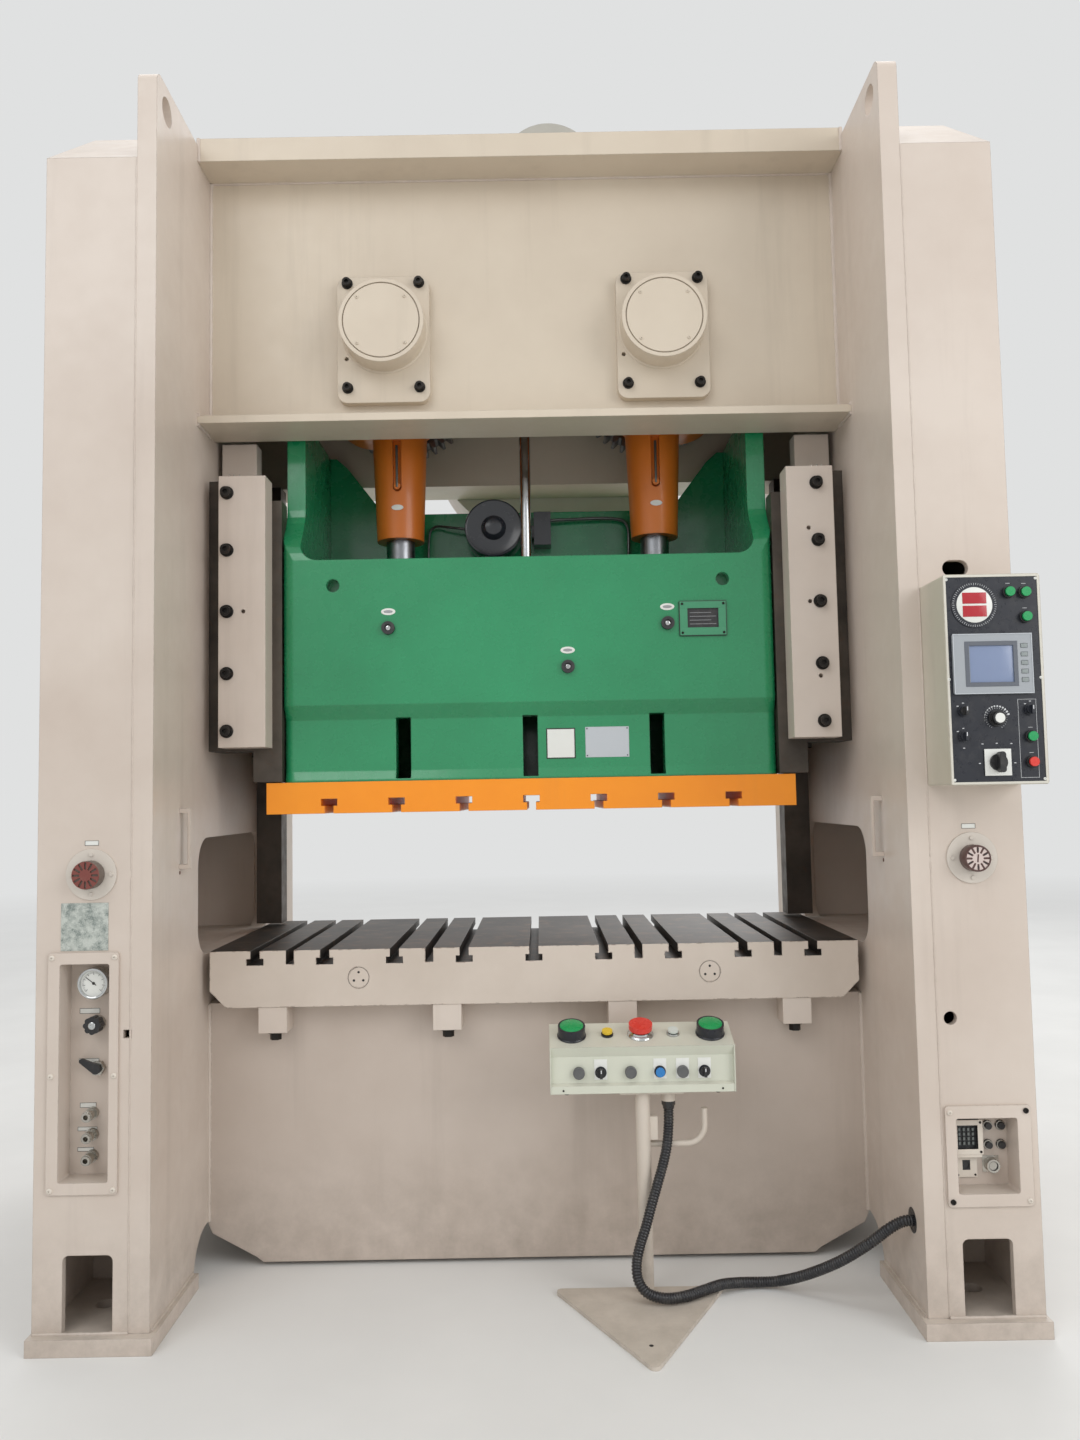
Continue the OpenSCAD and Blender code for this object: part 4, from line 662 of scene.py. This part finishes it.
def console_details():
    white = shape("console_legends", "console_paint", "legend_white")
    for x in (LEFT_SELECTOR_X, 324, 383, RIGHT_SELECTOR_X):
        white.box((x - 17, PANEL_Y - 1.2, 557), (x + 17, PANEL_Y + 0.4, 609), 0.4)
    grey = shape("console_plugs", "face_black", "plug_grey")
    for x in PLUGS_X:
        grey.turned((x, PANEL_Y - 12, PLUG_Z), OUT, [(15.3, -6), (15.3, 0.6), (13.6, 1.8), (11.5, 1.8),
            (11, 1.2), (3, 1.2)], 32)
    chrome = shape("console_rings", "fitting_metal", "bezel_chrome")
    place, out = on_top(STOP_X)
    chrome.turned(place, out, [(35, -0.5), (35, 2), (33, 5), (28, 7.5), (26, 12), (25, 12)], 48)
    place, out = on_top(LAMP_X)
    chrome.turned(place, out, [(17.5, -0.5), (17.5, 2.5), (16.4, 5.6), (14.8, 5.8)], 32)
    dark = shape("console_screws", "black_bolts")
    for x in (72, 485):
        cap_screw(dark, (x, -558, 533), 2.6, 1.2)
        inward = 9 if x < STOP_X else -9
        dark.turned((x + inward, -532, 526), DOWN, [(7, -1), (7, 7), (6, 9)])
    gland = shape("console_gland", "conduit_black")
    gland.turned(GLAND, DOWN, [(16, 0), (18, 0, six_sided), (18, 13, six_sided),
        (15.6, 15), (15, 22), (14, 24)])
    # Dark ring where the conduit enters the column: partly a rubber grommet, partly painted shade of the
    # gap in the hole
    grommet_and_shade = shape("conduit_grommet_and_hole_shade", "conduit_black")
    grommet_and_shade.turned(CONDUIT_HOLE, (-1, 0, 0), [(30, -0.5), (30, 0.8), (27, 1.6), (15, 1.6)], 48)
    selectors = (
        (LEFT_SELECTOR_X, "left_console_selector"), (RIGHT_SELECTOR_X, "right_console_selector"))
    for x, body in selectors:
        mark = shape(body + "_pointer", "knob_black", "mark_white", body)
        mark.box((x - 1.3, -572.2, 578), (x + 1.3, -570.6, 586.5), 0.2)
    ribs = shape("palm_guard_ribs", "face_black")
    for x in PALM_BUTTONS_X:
        place, out = on_top(x)
        ribs.turned(place, out, [(38.5, -0.5), (38.5, 2.5), (36.3, 4.5), (36.1, 5)], 48)
    stand = shape("stand_welds", "stand_paint")
    corners = [(x, y, FOOT_TOP) for x, y in around(*STAND, STAND_WELD_RADIUS, 12, 0)]
    for a, b in zip(corners, corners[1:] + corners[:1]):
        stand.bead(a, b, 3.2)
    # A thin dark disc in the stand's foot stands for the hole there: painted shade
    hole = shape("stand_hole_shade", "black_bolts", "mark_dark")
    hole.turned((262, -800, FOOT_TOP - 1), UP, [(5.5, -1), (5.5, 0.3)])


# Control box

DISPLAY = (1050, 1724)
SPEED_KNOB = (1090, 1457)
BOX_BUTTONS = ((1131, 1753), (1168, 1752), (1168, 1694), (1168, 1414), (1168, 1355))
LEGEND_RISE = 21
# Small marks at the stops of the selectors and of the cam switch
STOP_MARKS = (
    (1014, 1494), (1001, 1487), (1012, 1435), (999, 1428), (1012, 1389), (1170, 1496),
    (1158, 1490), (1055, 1398), (1088, 1399), (1122, 1398), (1047, 1353), (1129, 1353))
BOX_SCREWS = ((987, 1315), (1196, 1315), (984, 1550), (1198, 1551), (987, 1785), (1196, 1785))
SELECTORS = (
    ((1014, 1475), "upper_selector", FACE_Y - 25), ((1012, 1416), "frame", FACE_Y - 22),
    ((1168, 1476), "frame", FACE_Y - 22))


def control_box_details():
    white = shape("face_marks", "face_black", "mark_white")
    white.frame((1141, 1318), (1184, 1501), FACE_Y, 0.9, 0.5)
    x, z = DISPLAY
    for k in range(60):
        reach = 48 if k % 5 else 46.5
        matrix = turned_about(x, FACE_Y - 2, z, 6 * k)
        white.box((-0.45, -0.5, reach), (0.45, 0.1, 52), 0, matrix)
    x, z = SPEED_KNOB
    for k in range(24):
        matrix = turned_about(x, FACE_Y, z, -150 + 300 * k / 23)
        white.box((-0.4, -0.5, 22.5), (0.4, 0.1, 25.5), 0, matrix)
        if 4 <= k <= 17:
            thick = 0.6 + 5.0 * (k - 4) / 13
            white.box((-1.9, -0.5, 27), (1.9, 0.1, 27 + thick), 0, matrix)
    for x, z in BOX_BUTTONS:
        low = z + LEGEND_RISE - 0.6
        white.box((x - 5, FACE_Y - 0.4, low), (x + 5, FACE_Y + 0.1, low + 1.2), 0)
    for x, z in STOP_MARKS:
        white.box((x - 2.4, FACE_Y - 0.4, z - 1), (x + 2.4, FACE_Y + 0.1, z + 1), 0)
    plate = shape("cam_switch_plate", "face_black", "legend_white")
    plate.box((1057, FACE_Y - 4, 1324), (1119, FACE_Y - 2.6, 1386), 0.4)
    disc = shape("display_disc", "face_black", "legend_white")
    disc.turned((DISPLAY[0], FACE_Y - 2, DISPLAY[1]), OUT, [(42, 0), (42, 0.5), (41.6, 0.7)], 64)
    red = shape("display_windows", "face_black", "window_red")
    for z in (1727, 1696):
        red.box((1022, FACE_Y - 3.6, z), (1078, FACE_Y - 2.2, z + 26), 0.3)
    pale = shape("box_rim", "box_paint", "rim_pale")
    pale.frame((979.5, 1304.5), (1204.5, 1795.5), FACE_Y, 5.5, 1.4)
    screws = shape("box_screws", "box_paint", "legend_white")
    for x, z in BOX_SCREWS:
        pan_screw(screws, (x, FACE_Y - 0.2, z), 3.4)
    caps = shape("speed_knob_cap", "knob_black", "legend_white", "speed_knob")
    x, z = SPEED_KNOB
    caps.turned((x, FACE_Y - 22, z), OUT, [(11.5, -0.5), (11.5, 0.6), (10.8, 1.1)], 32)
    ridges = shape("speed_knob_ridges", "knob_black", None, "speed_knob")
    for k in range(24):
        ridges.box((-0.8, -21, 14.5), (0.8, -6, 15.8), 0.3, turned_about(x, FACE_Y, z, 15 * k))
    for (x, z), body, tip in SELECTORS:
        mark = shape(body + "_selector_pointer", "knob_black", "mark_white", body)
        mark.box((x - 1.1, tip - 0.8, z), (x + 1.1, tip + 0.4, z + 9), 0.2)
    glass = shape("screen_glass", "screen_frame", "screen_blue")
    glass.box((1031, FACE_Y - 5.8, 1541), (1140, FACE_Y - 4.6, 1629), 0.2)
    inner = shape("screen_inner_frame", "screen_frame", "bezel_dark")
    inner.frame((1020, 1531), (1143, 1637), FACE_Y - 8, 10, 0.7)
    keys = shape("screen_keys", "screen_frame", "key_grey")
    for i in range(5):
        keys.box((1151, FACE_Y - 9.2, 1541 + i * 20), (1166, FACE_Y - 7.2, 1550 + i * 20), 0.6)
    edge = shape("screen_edge", "screen_frame", "bezel_light")
    edge.frame((993, 1514), (1178, 1655), FACE_Y - 8, 2.2, 0.8)
    rings = shape("button_bezels", "face_black", "knob_black")
    for x, z in BOX_BUTTONS:
        rings.turned((x, FACE_Y - 5, z), OUT,
            [(14.2, -5), (14.2, 1.5), (13, 3), (11.6, 3), (11.6, 1)], 32)
    hinges = shape("box_hinges", "box_paint")
    for z in (1400, 1690):
        hinges.turned((1206, -835, z), UP, [(4, 0), (5, 1), (5, 54), (4, 55)], 20)


# Columns

GAUGE = (-1077, 858)
GAUGE_FACE_Y = -732
REGULATOR = (-1079, 756)
LEFT_DIAL = (-1073, 1125)
RIGHT_DIAL = (1077, 1127)
DIAL_LABELS = ((-1073, 1201), (1072, 1204))
# Labels on the back of the air panel, as corners of X and Z
AIR_LABELS = (
    ((-1124, 779), (-1074, 792)), ((-1121, 551), (-1081, 563)), ((-1126, 495), (-1078, 505)),
    ((-1126, 446), (-1086, 456)), ((-1125, 660), (-1075, 670)))

# Weld lines: beside the inner face, along the column's edges and at the foot
WELD_X = INNER_X - 1.5
SEAM_X = 976
FOOT_WELD_Z = 41
BED_WELD = (125, 724)
CROWN_WELD = (2388, 3130)
CROWN_WELD_Y = 305.5


def column_details():
    screws = shape("panel_screws", "dial_metal", "screw_painted")
    for x in (-1165, -1013):
        for z in (925, 643, 375):
            pan_screw(screws, (x, FRONT_Y - 6, z), 7)
    for x, z in ((994, 520), (1178, 311)):
        pan_screw(screws, (x, FRONT_Y - 6, z), 6.5)
    dark = shape("panel_dark_screws", "black_bolts")
    for x, z in ((1177, 522), (994, 311)):
        cap_screw(dark, (x, FRONT_Y - 6, z), 6.5, 4)
    x, z = GAUGE
    face = shape("gauge_face", "fitting_metal", "legend_white")
    face.turned((x, GAUGE_FACE_Y, z), OUT, [(32, -1.5), (32, 0.2)], 48)
    rim = shape("gauge_rim", "fitting_metal", "bezel_chrome")
    rim.turned((x, GAUGE_FACE_Y - 6, z), OUT,
        [(38, -14), (38, 0), (36.6, 2.4), (34, 3), (31.8, 2), (31.6, -6)], 64)
    ticks = shape("gauge_marks", "fitting_metal", "mark_dark")
    for k in range(41):
        matrix = turned_about(x, GAUGE_FACE_Y - 0.3, z, -135 + 270 * k / 40)
        half, inner = (0.5, 21) if k % 5 == 0 else (0.25, 24)
        ticks.box((-half, -0.3, inner), (half, 0.1, 28), 0, matrix)
    needle = turned_about(x, GAUGE_FACE_Y - 1, z, -52)
    ticks.box((-0.8, -0.5, -8), (0.8, 0.3, 24), 0.2, needle)
    ticks.turned((x, GAUGE_FACE_Y - 0.5, z), OUT, [(3.4, 0), (3.4, 1.4), (2.6, 2)])
    strips = shape("panel_labels", "dial_metal", "legend_white")
    edges = shape("panel_label_edges", "dial_metal", "mark_dark")
    for a, b in AIR_LABELS:
        strips.box((a[0], TRAY_BACK - 0.8, a[1]), (b[0], TRAY_BACK + 0.4, b[1]), 0)
        edges.frame(a, b, TRAY_BACK - 0.8, 0.9, 0.3)
    for cx, cz in DIAL_LABELS:
        strips.box((cx - 17, FRONT_Y - 0.9, cz - 6), (cx + 17, FRONT_Y + 0.3, cz + 6), 0)
        edges.frame((cx - 17, cz - 6), (cx + 17, cz + 6), FRONT_Y - 0.9, 0.9, 0.3)
    weathered = shape("weathered_plate", "dial_metal", "weathered_plate")
    weathered.box((-1146, FRONT_Y - 1.6, 941), (-1031, FRONT_Y + 0.4, 1056), 0.5)
    hub = shape("regulator_hub", "knob_black", "bezel_chrome", "regulator_knob")
    hub.turned((REGULATOR[0], -736, REGULATOR[1]), OUT,
        [(9, -3), (9, 2), (7.5, 3), (4, 3), (3.5, 1)], 32)
    rim = shape("right_dial_rim", "dial_pale", "dial_brown", "right_dial_knob")
    x, z = RIGHT_DIAL
    rim.turned((x, FRONT_Y - 4.4, z), OUT,
        [(31.6, 0), (32.4, 2), (32.4, 34), (31.2, 36.6), (28, 36.8), (27.5, 35)], 64)
    marks = shape("right_dial_marks", "dial_pale", "mark_dark", "right_dial_knob")
    for k in range(6):
        marks.box((-1.4, -0.5, 17), (1.4, 0.6, 25), 0.2, turned_about(x, FRONT_Y - 40, z, 60 * k + 3))
    pointer = shape("right_dial_pointer", "dial_pale", "dial_brown", "right_dial_knob")
    pointer.box((-1.6, -0.9, -9), (1.6, 0.4, 10), 0.4, turned_about(x, FRONT_Y - 40, z, 6))
    rim = shape("left_dial_rim", "dial_red", "dial_grime", "left_dial_knob")
    x, z = LEFT_DIAL
    rim.turned((x, FRONT_Y - 4.4, z), OUT, [(33.4, 0), (34.2, 2), (34.2, 30), (33.2, 32)], 64)
    sockets()
    column_welds()
    stains = shape("handle_stains", "beige_paint", "rust_spot")
    for s in (-1, 1):
        stains.turned((s * 924.8, -555, 1112), (-s, 0, 0), [(5, -0.5), (5, 0.3), (3.5, 0.6)])


def column_welds():
    beads = shape("column_welds", "beige_paint")
    low, high = CROWN_WELD
    for s in (-1, 1):
        x, seam = s * WELD_X, s * SEAM_X
        for y in (-1, 1):
            beads.bead((seam, y * 759, 42), (seam, y * 759, 1118), 2.6)
            beads.bead((seam, y * 759, 1132), (seam, y * 759, 2944), 2.6)
            beads.bead((s * INNER_X, y * 752, FOOT_WELD_Z), (s * INNER_X, y * 440, FOOT_WELD_Z), 5)
            beads.bead((seam, y * 761, FOOT_WELD_Z), (s * 1204, y * 761, FOOT_WELD_Z), 5)
        beads.bead((x, -424, 2362), (x, -306, 2362), 5)
        beads.bead((x, -425, low), (x, -306, low), 6)
        beads.bead((x, -CROWN_WELD_Y, low), (x, -CROWN_WELD_Y, high), 7)
        beads.bead((x, -424, high), (x, -424, 3200), 6)
        for y in (-299, 299):
            beads.bead((x, y, BED_WELD[0]), (x, y, BED_WELD[1]), 6)
        beads.bead((x, CROWN_WELD_Y, low), (x, CROWN_WELD_Y, high), 7)
    beads.bead((-922, -CROWN_WELD_Y, low - 0.5), (922, -CROWN_WELD_Y, low - 0.5), 5)
    beads.bead((-922, -CROWN_WELD_Y, high + 1), (922, -CROWN_WELD_Y, high + 1), 4)


def sockets():
    """The pale frames, rings and contacts on the dark sockets in the right column."""
    back = TRAY_BACK
    trim = shape("socket_trim", "dial_metal", "screw_painted")
    trim.frame((1014.5, 406.5), (1089.5, 488.5), back - 21, 12.5, 2)
    trim.frame((1025.5, 347.5), (1078.5, 405.5), back - 4.6, 17, 1.4)
    trim.box((1018, back - 21, 399), (1086, back - 17, 406.5), 0.6)
    screws = shape("socket_screws", "black_bolts")
    for x, z in ((1020.5, 412.5), (1083.5, 412.5), (1020.5, 482.5), (1083.5, 482.5)):
        cap_screw(screws, (x, back - 22.6, z), 3, 1.4)
    for x, z in ((1031, 353), (1073, 353), (1031, 400), (1073, 400)):
        cap_screw(screws, (x, back - 5.8, z), 2.6, 1.2)
    contacts = shape("socket_contacts", "fitting_metal", "pipe_grey")
    for x in (1035, 1046, 1057, 1068):
        for z in (427, 438, 449, 460):
            contacts.box((x - 2.6, back - 15, z), (x + 2.6, back - 9.6, z + 7.5), 0.5)
    rings = shape("connector_rings", "fitting_metal")
    rings.turned((1113, back - 20, 377), OUT,
        [(17, -19), (17, -12), (16.2, -11.6), (17, -10), (17, 0), (16, 1.6), (11.4, 1.6), (10.6, -2)], 40)
    rings.box((1093, back - 1.6, 357), (1133, back + 0.2, 397), 0.8)
    for x in (1108, 1140):
        for z in (424, 470):
            rings.turned((x, back - 5, z), OUT,
                [(12.2, -4), (12.2, 1, six_sided), (11.4, 2.4), (9.4, 2.6), (8.8, 1)])


# Slide, crown and bolster

SLIDE_PLUGS = ((-404, 1787), (402, 1787), (112, 1666))
STICKER_RISE = 48
SLIDE_LABEL = ((46, 1403), (130, 1491))
SLIDE_PLATE = ((159, 1405), (285, 1493))
# Name plate, outside and around its window, as corners of X and Z
NAME_PLATE = ((437, 1750), (570, 1848))
NAME_WINDOW = ((459, 1772), (548, 1828))
ROD_STICKER_Z = 2205
ROD_STICKER_OUT = 78.227
MOTOR_BOSS = (-109, 24, 2160)


def slide_details():
    white = shape("slide_stickers", "slide_green", "legend_white", "ram")
    for x, z in SLIDE_PLUGS:
        white.oval(x, z + STICKER_RISE, SLIDE_Y, 21, 10, 0.5)
    edge = shape("slide_sticker_lines", "slide_green", "mark_grey", "ram")
    for x, z in SLIDE_PLUGS:
        edge.oval(x, z + STICKER_RISE, SLIDE_Y - 0.5, 14, 4.5, 0.2)
    label = shape("slide_labels", "slide_green", "legend_white", "ram")
    low, high = SLIDE_LABEL
    label.box((low[0], BAND_Y - 1, low[1]), (high[0], BAND_Y + 0.3, high[1]), 0.3)
    plain = shape("slide_label_plate", "slide_green", "bezel_light", "ram")
    low, high = SLIDE_PLATE
    plain.box((low[0], BAND_Y - 1, low[1]), (high[0], BAND_Y + 0.3, high[1]), 0.3)
    dark = shape("slide_label_edges", "slide_green", "mark_dark", "ram")
    dark.frame(*SLIDE_LABEL, BAND_Y - 1, 3, 0.3)
    for x in (low[0] + 5, high[0] - 5):
        for z in (low[1] + 5, high[1] - 5):
            dark.turned((x, BAND_Y - 1, z), OUT, [(2, 0), (2, 0.5), (1.2, 0.8)], 16)
    name_plate()
    studs = shape("slide_plug_centres", "socket_black", "bezel_chrome", "ram")
    for x, z in SLIDE_PLUGS:
        studs.turned((x, SLIDE_Y - 6, z), OUT,
            [(7, -1), (7, 1.2), (4, 2.2), (3.4, 2.2, six_sided), (3.2, 0.8, six_sided)])
    rod = shape("rod_stickers", "rod_orange", "legend_white", "ram")
    slot_pipe = shape("rod_slot_pipes", "rod_orange", "pipe_grey", "ram")
    for x in (-CRANK_X, CRANK_X):
        rod.oval(x, ROD_STICKER_Z, -ROD_STICKER_OUT, 19, 9, 0.5)
        slot_pipe.tube([(x, -84, 2268), (x, -86, 2300), (x, -87, 2350), (x, -88, 2400)], 4)
    pipe = shape("slide_pipes", "slide_green", "pipe_grey", "ram")
    pipe.tube([(76, 140, 2210), (120, 142, 2212), (280, 146, 2214), (330, 150, 2190), (335, 156, 2100),
        (335, 158, 1960)], 5)
    pipe.tube([(-202, 120, 2180), (-260, 130, 2190), (-310, 146, 2195), (-330, 152, 2150),
        (-332, 156, 1960)], 4)
    boss = shape("adjust_motor_boss", "socket_black", "dark_gloss", "ram")
    boss.turned(MOTOR_BOSS, OUT, [(94, -90), (94, -3), (92.5, 1.2), (88, 2.6), (84, 1), (40, 1),
        (38, 4), (32, 14), (26, 20), (18, 22)], 64)


def name_plate():
    name = shape("name_plate", "socket_black", "plate_green", "ram")
    (left, low), (right, high) = NAME_PLATE
    (hole_left, hole_low), (hole_right, hole_high) = NAME_WINDOW
    for a, b in (
        ((left, low), (right, hole_low)), ((left, hole_high), (right, high)),
        ((left, hole_low), (hole_left, hole_high)), ((hole_right, hole_low), (right, hole_high)),
    ):
        name.box((a[0], SLIDE_Y - 7.4, a[1]), (b[0], SLIDE_Y - 5.6, b[1]), 0.3)
    marks = shape("name_plate_marks", "socket_black", "mark_grey", "ram")
    for k in range(4):
        low_z = hole_low + 10 + 11 * k
        end = hole_right - 6 - 14 * (k % 2)
        marks.box((hole_left + 7, SLIDE_Y - 3.3, low_z), (end, SLIDE_Y - 2.8, low_z + 1.6), 0)
    pins = shape("name_plate_screws", "black_bolts", None, "ram")
    for x in (left + 7, right - 7):
        for z in (low + 7, high - 7):
            cap_screw(pins, (x, SLIDE_Y - 7.2, z), 3.6, 2)


def crown_details():
    screws = shape("lid_screws", "crown_paint")
    rims = shape("lid_rims", "crown_paint")
    for middle in (-CRANK_X, CRANK_X):
        for x, z in around(middle, CRANK_Z, 96, 4, 45):
            pan_screw(screws, (x, WEB_Y - 110, z), 5)
        rims.turned((middle, WEB_Y - 28, CRANK_Z), OUT,
            [(127, -1), (127, 0.5), (124, 4), (122.4, 5.5)], 72)
    # Three thin dark discs on the bolster's front stand for its small holes: painted shade
    holes = shape("bolster_hole_shades", "bolster_steel", "mark_dark")
    for middle in (-487, 487):
        for x, z in around(middle, 803, 15, 3, 90):
            holes.turned((x, -375, z), OUT, [(3.4, -1), (3.4, 0.25)])
    lube = shape("gib_nipples", "fitting_metal")
    for s in (-1, 1):
        for x in (826, 842, 855):
            lube.turned((s * x, -345, 2222), UP,
                [(4.5, -1), (4.5, 6, six_sided), (2.6, 7), (2.6, 14), (1.6, 16)])


# Guard: its face, its two centres and the circles of its screws about them
GUARD_X = 90
GUARD_Y = 730
WHEEL_Z = CRANK_Z
PULLEY_Z = 3400
WHEEL_SCREWS = 432
PULLEY_SCREWS = 110
GUARD_LEAN = math.radians(64)
TERMINAL_BOX = ((297, 213, 3343), (303, 327, 3457))


def guard_screw_places():
    """Places of the guard's screws: around the wheel, over the pulley and down both sides."""
    places = []
    for z, radius, angles in (
        (WHEEL_Z, WHEEL_SCREWS, range(75, 290, 30)), (PULLEY_Z, PULLEY_SCREWS, (-50, 0, 50))
    ):
        for degrees in angles:
            turn = math.radians(degrees)
            places.append((GUARD_X + radius * math.sin(turn), z + radius * math.cos(turn)))
    narrower = PULLEY_SCREWS - WHEEL_SCREWS
    for s in (-1, 1):
        for share in (0.28, 0.64):
            out = (WHEEL_SCREWS + share * narrower) * math.sin(GUARD_LEAN)
            rise = PULLEY_Z - WHEEL_Z + narrower * math.cos(GUARD_LEAN)
            z = WHEEL_Z + WHEEL_SCREWS * math.cos(GUARD_LEAN) + share * rise
            places.append((GUARD_X + s * out, z))
    return places


def drive_details():
    """Screws on the guard, the rear bearing covers and the motor's terminal box."""
    rim = shape("guard_screws", "motor_paint", "pipe_grey")
    for x, z in guard_screw_places():
        rim.turned((x, GUARD_Y, z), BACK, [(13, -1), (13, 1.6), (12.4, 2)])
        pan_screw(rim, (x, GUARD_Y + 2, z), 8, BACK)
    lids = shape("rear_lid_screws", "black_bolts")
    for middle in (-CRANK_X, CRANK_X):
        for x, z in around(middle, CRANK_Z, 92, 6, 30):
            cap_screw(lids, (x, 330, z), 8, 9, BACK)
    screws = shape("terminal_box_screws", "black_bolts")
    low, high = TERMINAL_BOX
    for y in (low[1] + 9, high[1] - 9):
        for z in (low[2] + 9, high[2] - 9):
            pan_screw(screws, (high[0] + 2, y, z), 5, (1, 0, 0))
    lid = shape("terminal_box_lid", "motor_paint")
    lid.box(low, high, 2.5)


console_details()
drive_details()
control_box_details()
column_details()
slide_details()
crown_details()
close_shapes()


# Floor and light

FLOOR_REACH = 60.0
FLOOR_FADES = (4.0, 15.0)
BACKDROP_COLOUR = linear(224, 225, 225)
WORLD_LIGHT = 0.7
MACHINE_MIDDLE = (0, 0, 1.4)


def floor():
    """A pale floor that fades into the backdrop's colour, so that no horizon shows."""
    mesh = bpy.data.meshes.new("floor")
    r = FLOOR_REACH
    mesh.from_pydata([(-r, -r, 0), (r, -r, 0), (r, r, 0), (-r, r, 0)], [], [(0, 1, 2, 3)])
    ground = bpy.data.objects.new("floor", mesh)
    bpy.context.scene.collection.objects.link(ground)
    f = Finish("floor_finish")
    f.colour(f.mix(f.fade(f.noise(1.5), 0.3, 0.7), linear(226, 226, 224), linear(219, 219, 217)))
    f.rough(0.8)
    far = f.node("ShaderNodeVectorMath", operation="LENGTH")
    f.put(f.place, far.inputs[0])
    glow = f.node("ShaderNodeEmission")
    glow.inputs["Color"].default_value = BACKDROP_COLOUR
    blend = f.node("ShaderNodeMixShader")
    f.put(f.fade(far.outputs["Value"], *FLOOR_FADES), blend.inputs[0])
    f.put(f.shader.outputs[0], blend.inputs[1])
    f.put(glow.outputs[0], blend.inputs[2])
    f.put(blend.outputs[0], f.tree.nodes["Material Output"].inputs["Surface"])
    mesh.materials.append(f.material)


def backdrop():
    """White light on the machine, and the pale backdrop for the camera, glass and gloss."""
    world = bpy.data.worlds.new("studio")
    bpy.context.scene.world = world
    world.use_nodes = True
    tree = world.node_tree
    lit = tree.nodes["Background"]
    lit.inputs["Color"].default_value = (1.0, 1.0, 1.0, 1.0)
    lit.inputs["Strength"].default_value = WORLD_LIGHT
    seen = tree.nodes.new("ShaderNodeBackground")
    seen.inputs["Color"].default_value = BACKDROP_COLOUR
    ray = tree.nodes.new("ShaderNodeLightPath")
    seen_by = ray.outputs["Is Camera Ray"]
    for kind in ("Is Transmission Ray", "Is Glossy Ray"):
        share = tree.nodes.new("ShaderNodeMath")
        share.operation = "MAXIMUM"
        tree.links.new(seen_by, share.inputs[0])
        tree.links.new(ray.outputs[kind], share.inputs[1])
        seen_by = share.outputs[0]
    mix = tree.nodes.new("ShaderNodeMixShader")
    tree.links.new(seen_by, mix.inputs[0])
    tree.links.new(lit.outputs[0], mix.inputs[1])
    tree.links.new(seen.outputs[0], mix.inputs[2])
    tree.links.new(mix.outputs[0], tree.nodes["World Output"].inputs["Surface"])


def lamp(name, place, target, size, power):
    data = bpy.data.lights.new(name, "AREA")
    data.shape = "SQUARE"
    data.size = size
    data.energy = power
    made_lamp = bpy.data.objects.new(name, data)
    bpy.context.scene.collection.objects.link(made_lamp)
    made_lamp.location = place
    aim = Vector(target) - Vector(place)
    made_lamp.rotation_euler = aim.to_track_quat("-Z", "Y").to_euler()


floor()
backdrop()
lamp("key", (-3.5, -6.5, 6.5), MACHINE_MIDDLE, size=4.5, power=145)
lamp("fill", (5.5, -5.0, 3.5), MACHINE_MIDDLE, size=4.0, power=160)
lamp("top", (0, 0.5, 8.0), (0, 0, 0), size=6.0, power=170)
lamp("rear", (3.0, 7.0, 5.5), (0, 0, 1.6), size=4.5, power=150)
bpy.context.scene.view_settings.view_transform = "Standard"
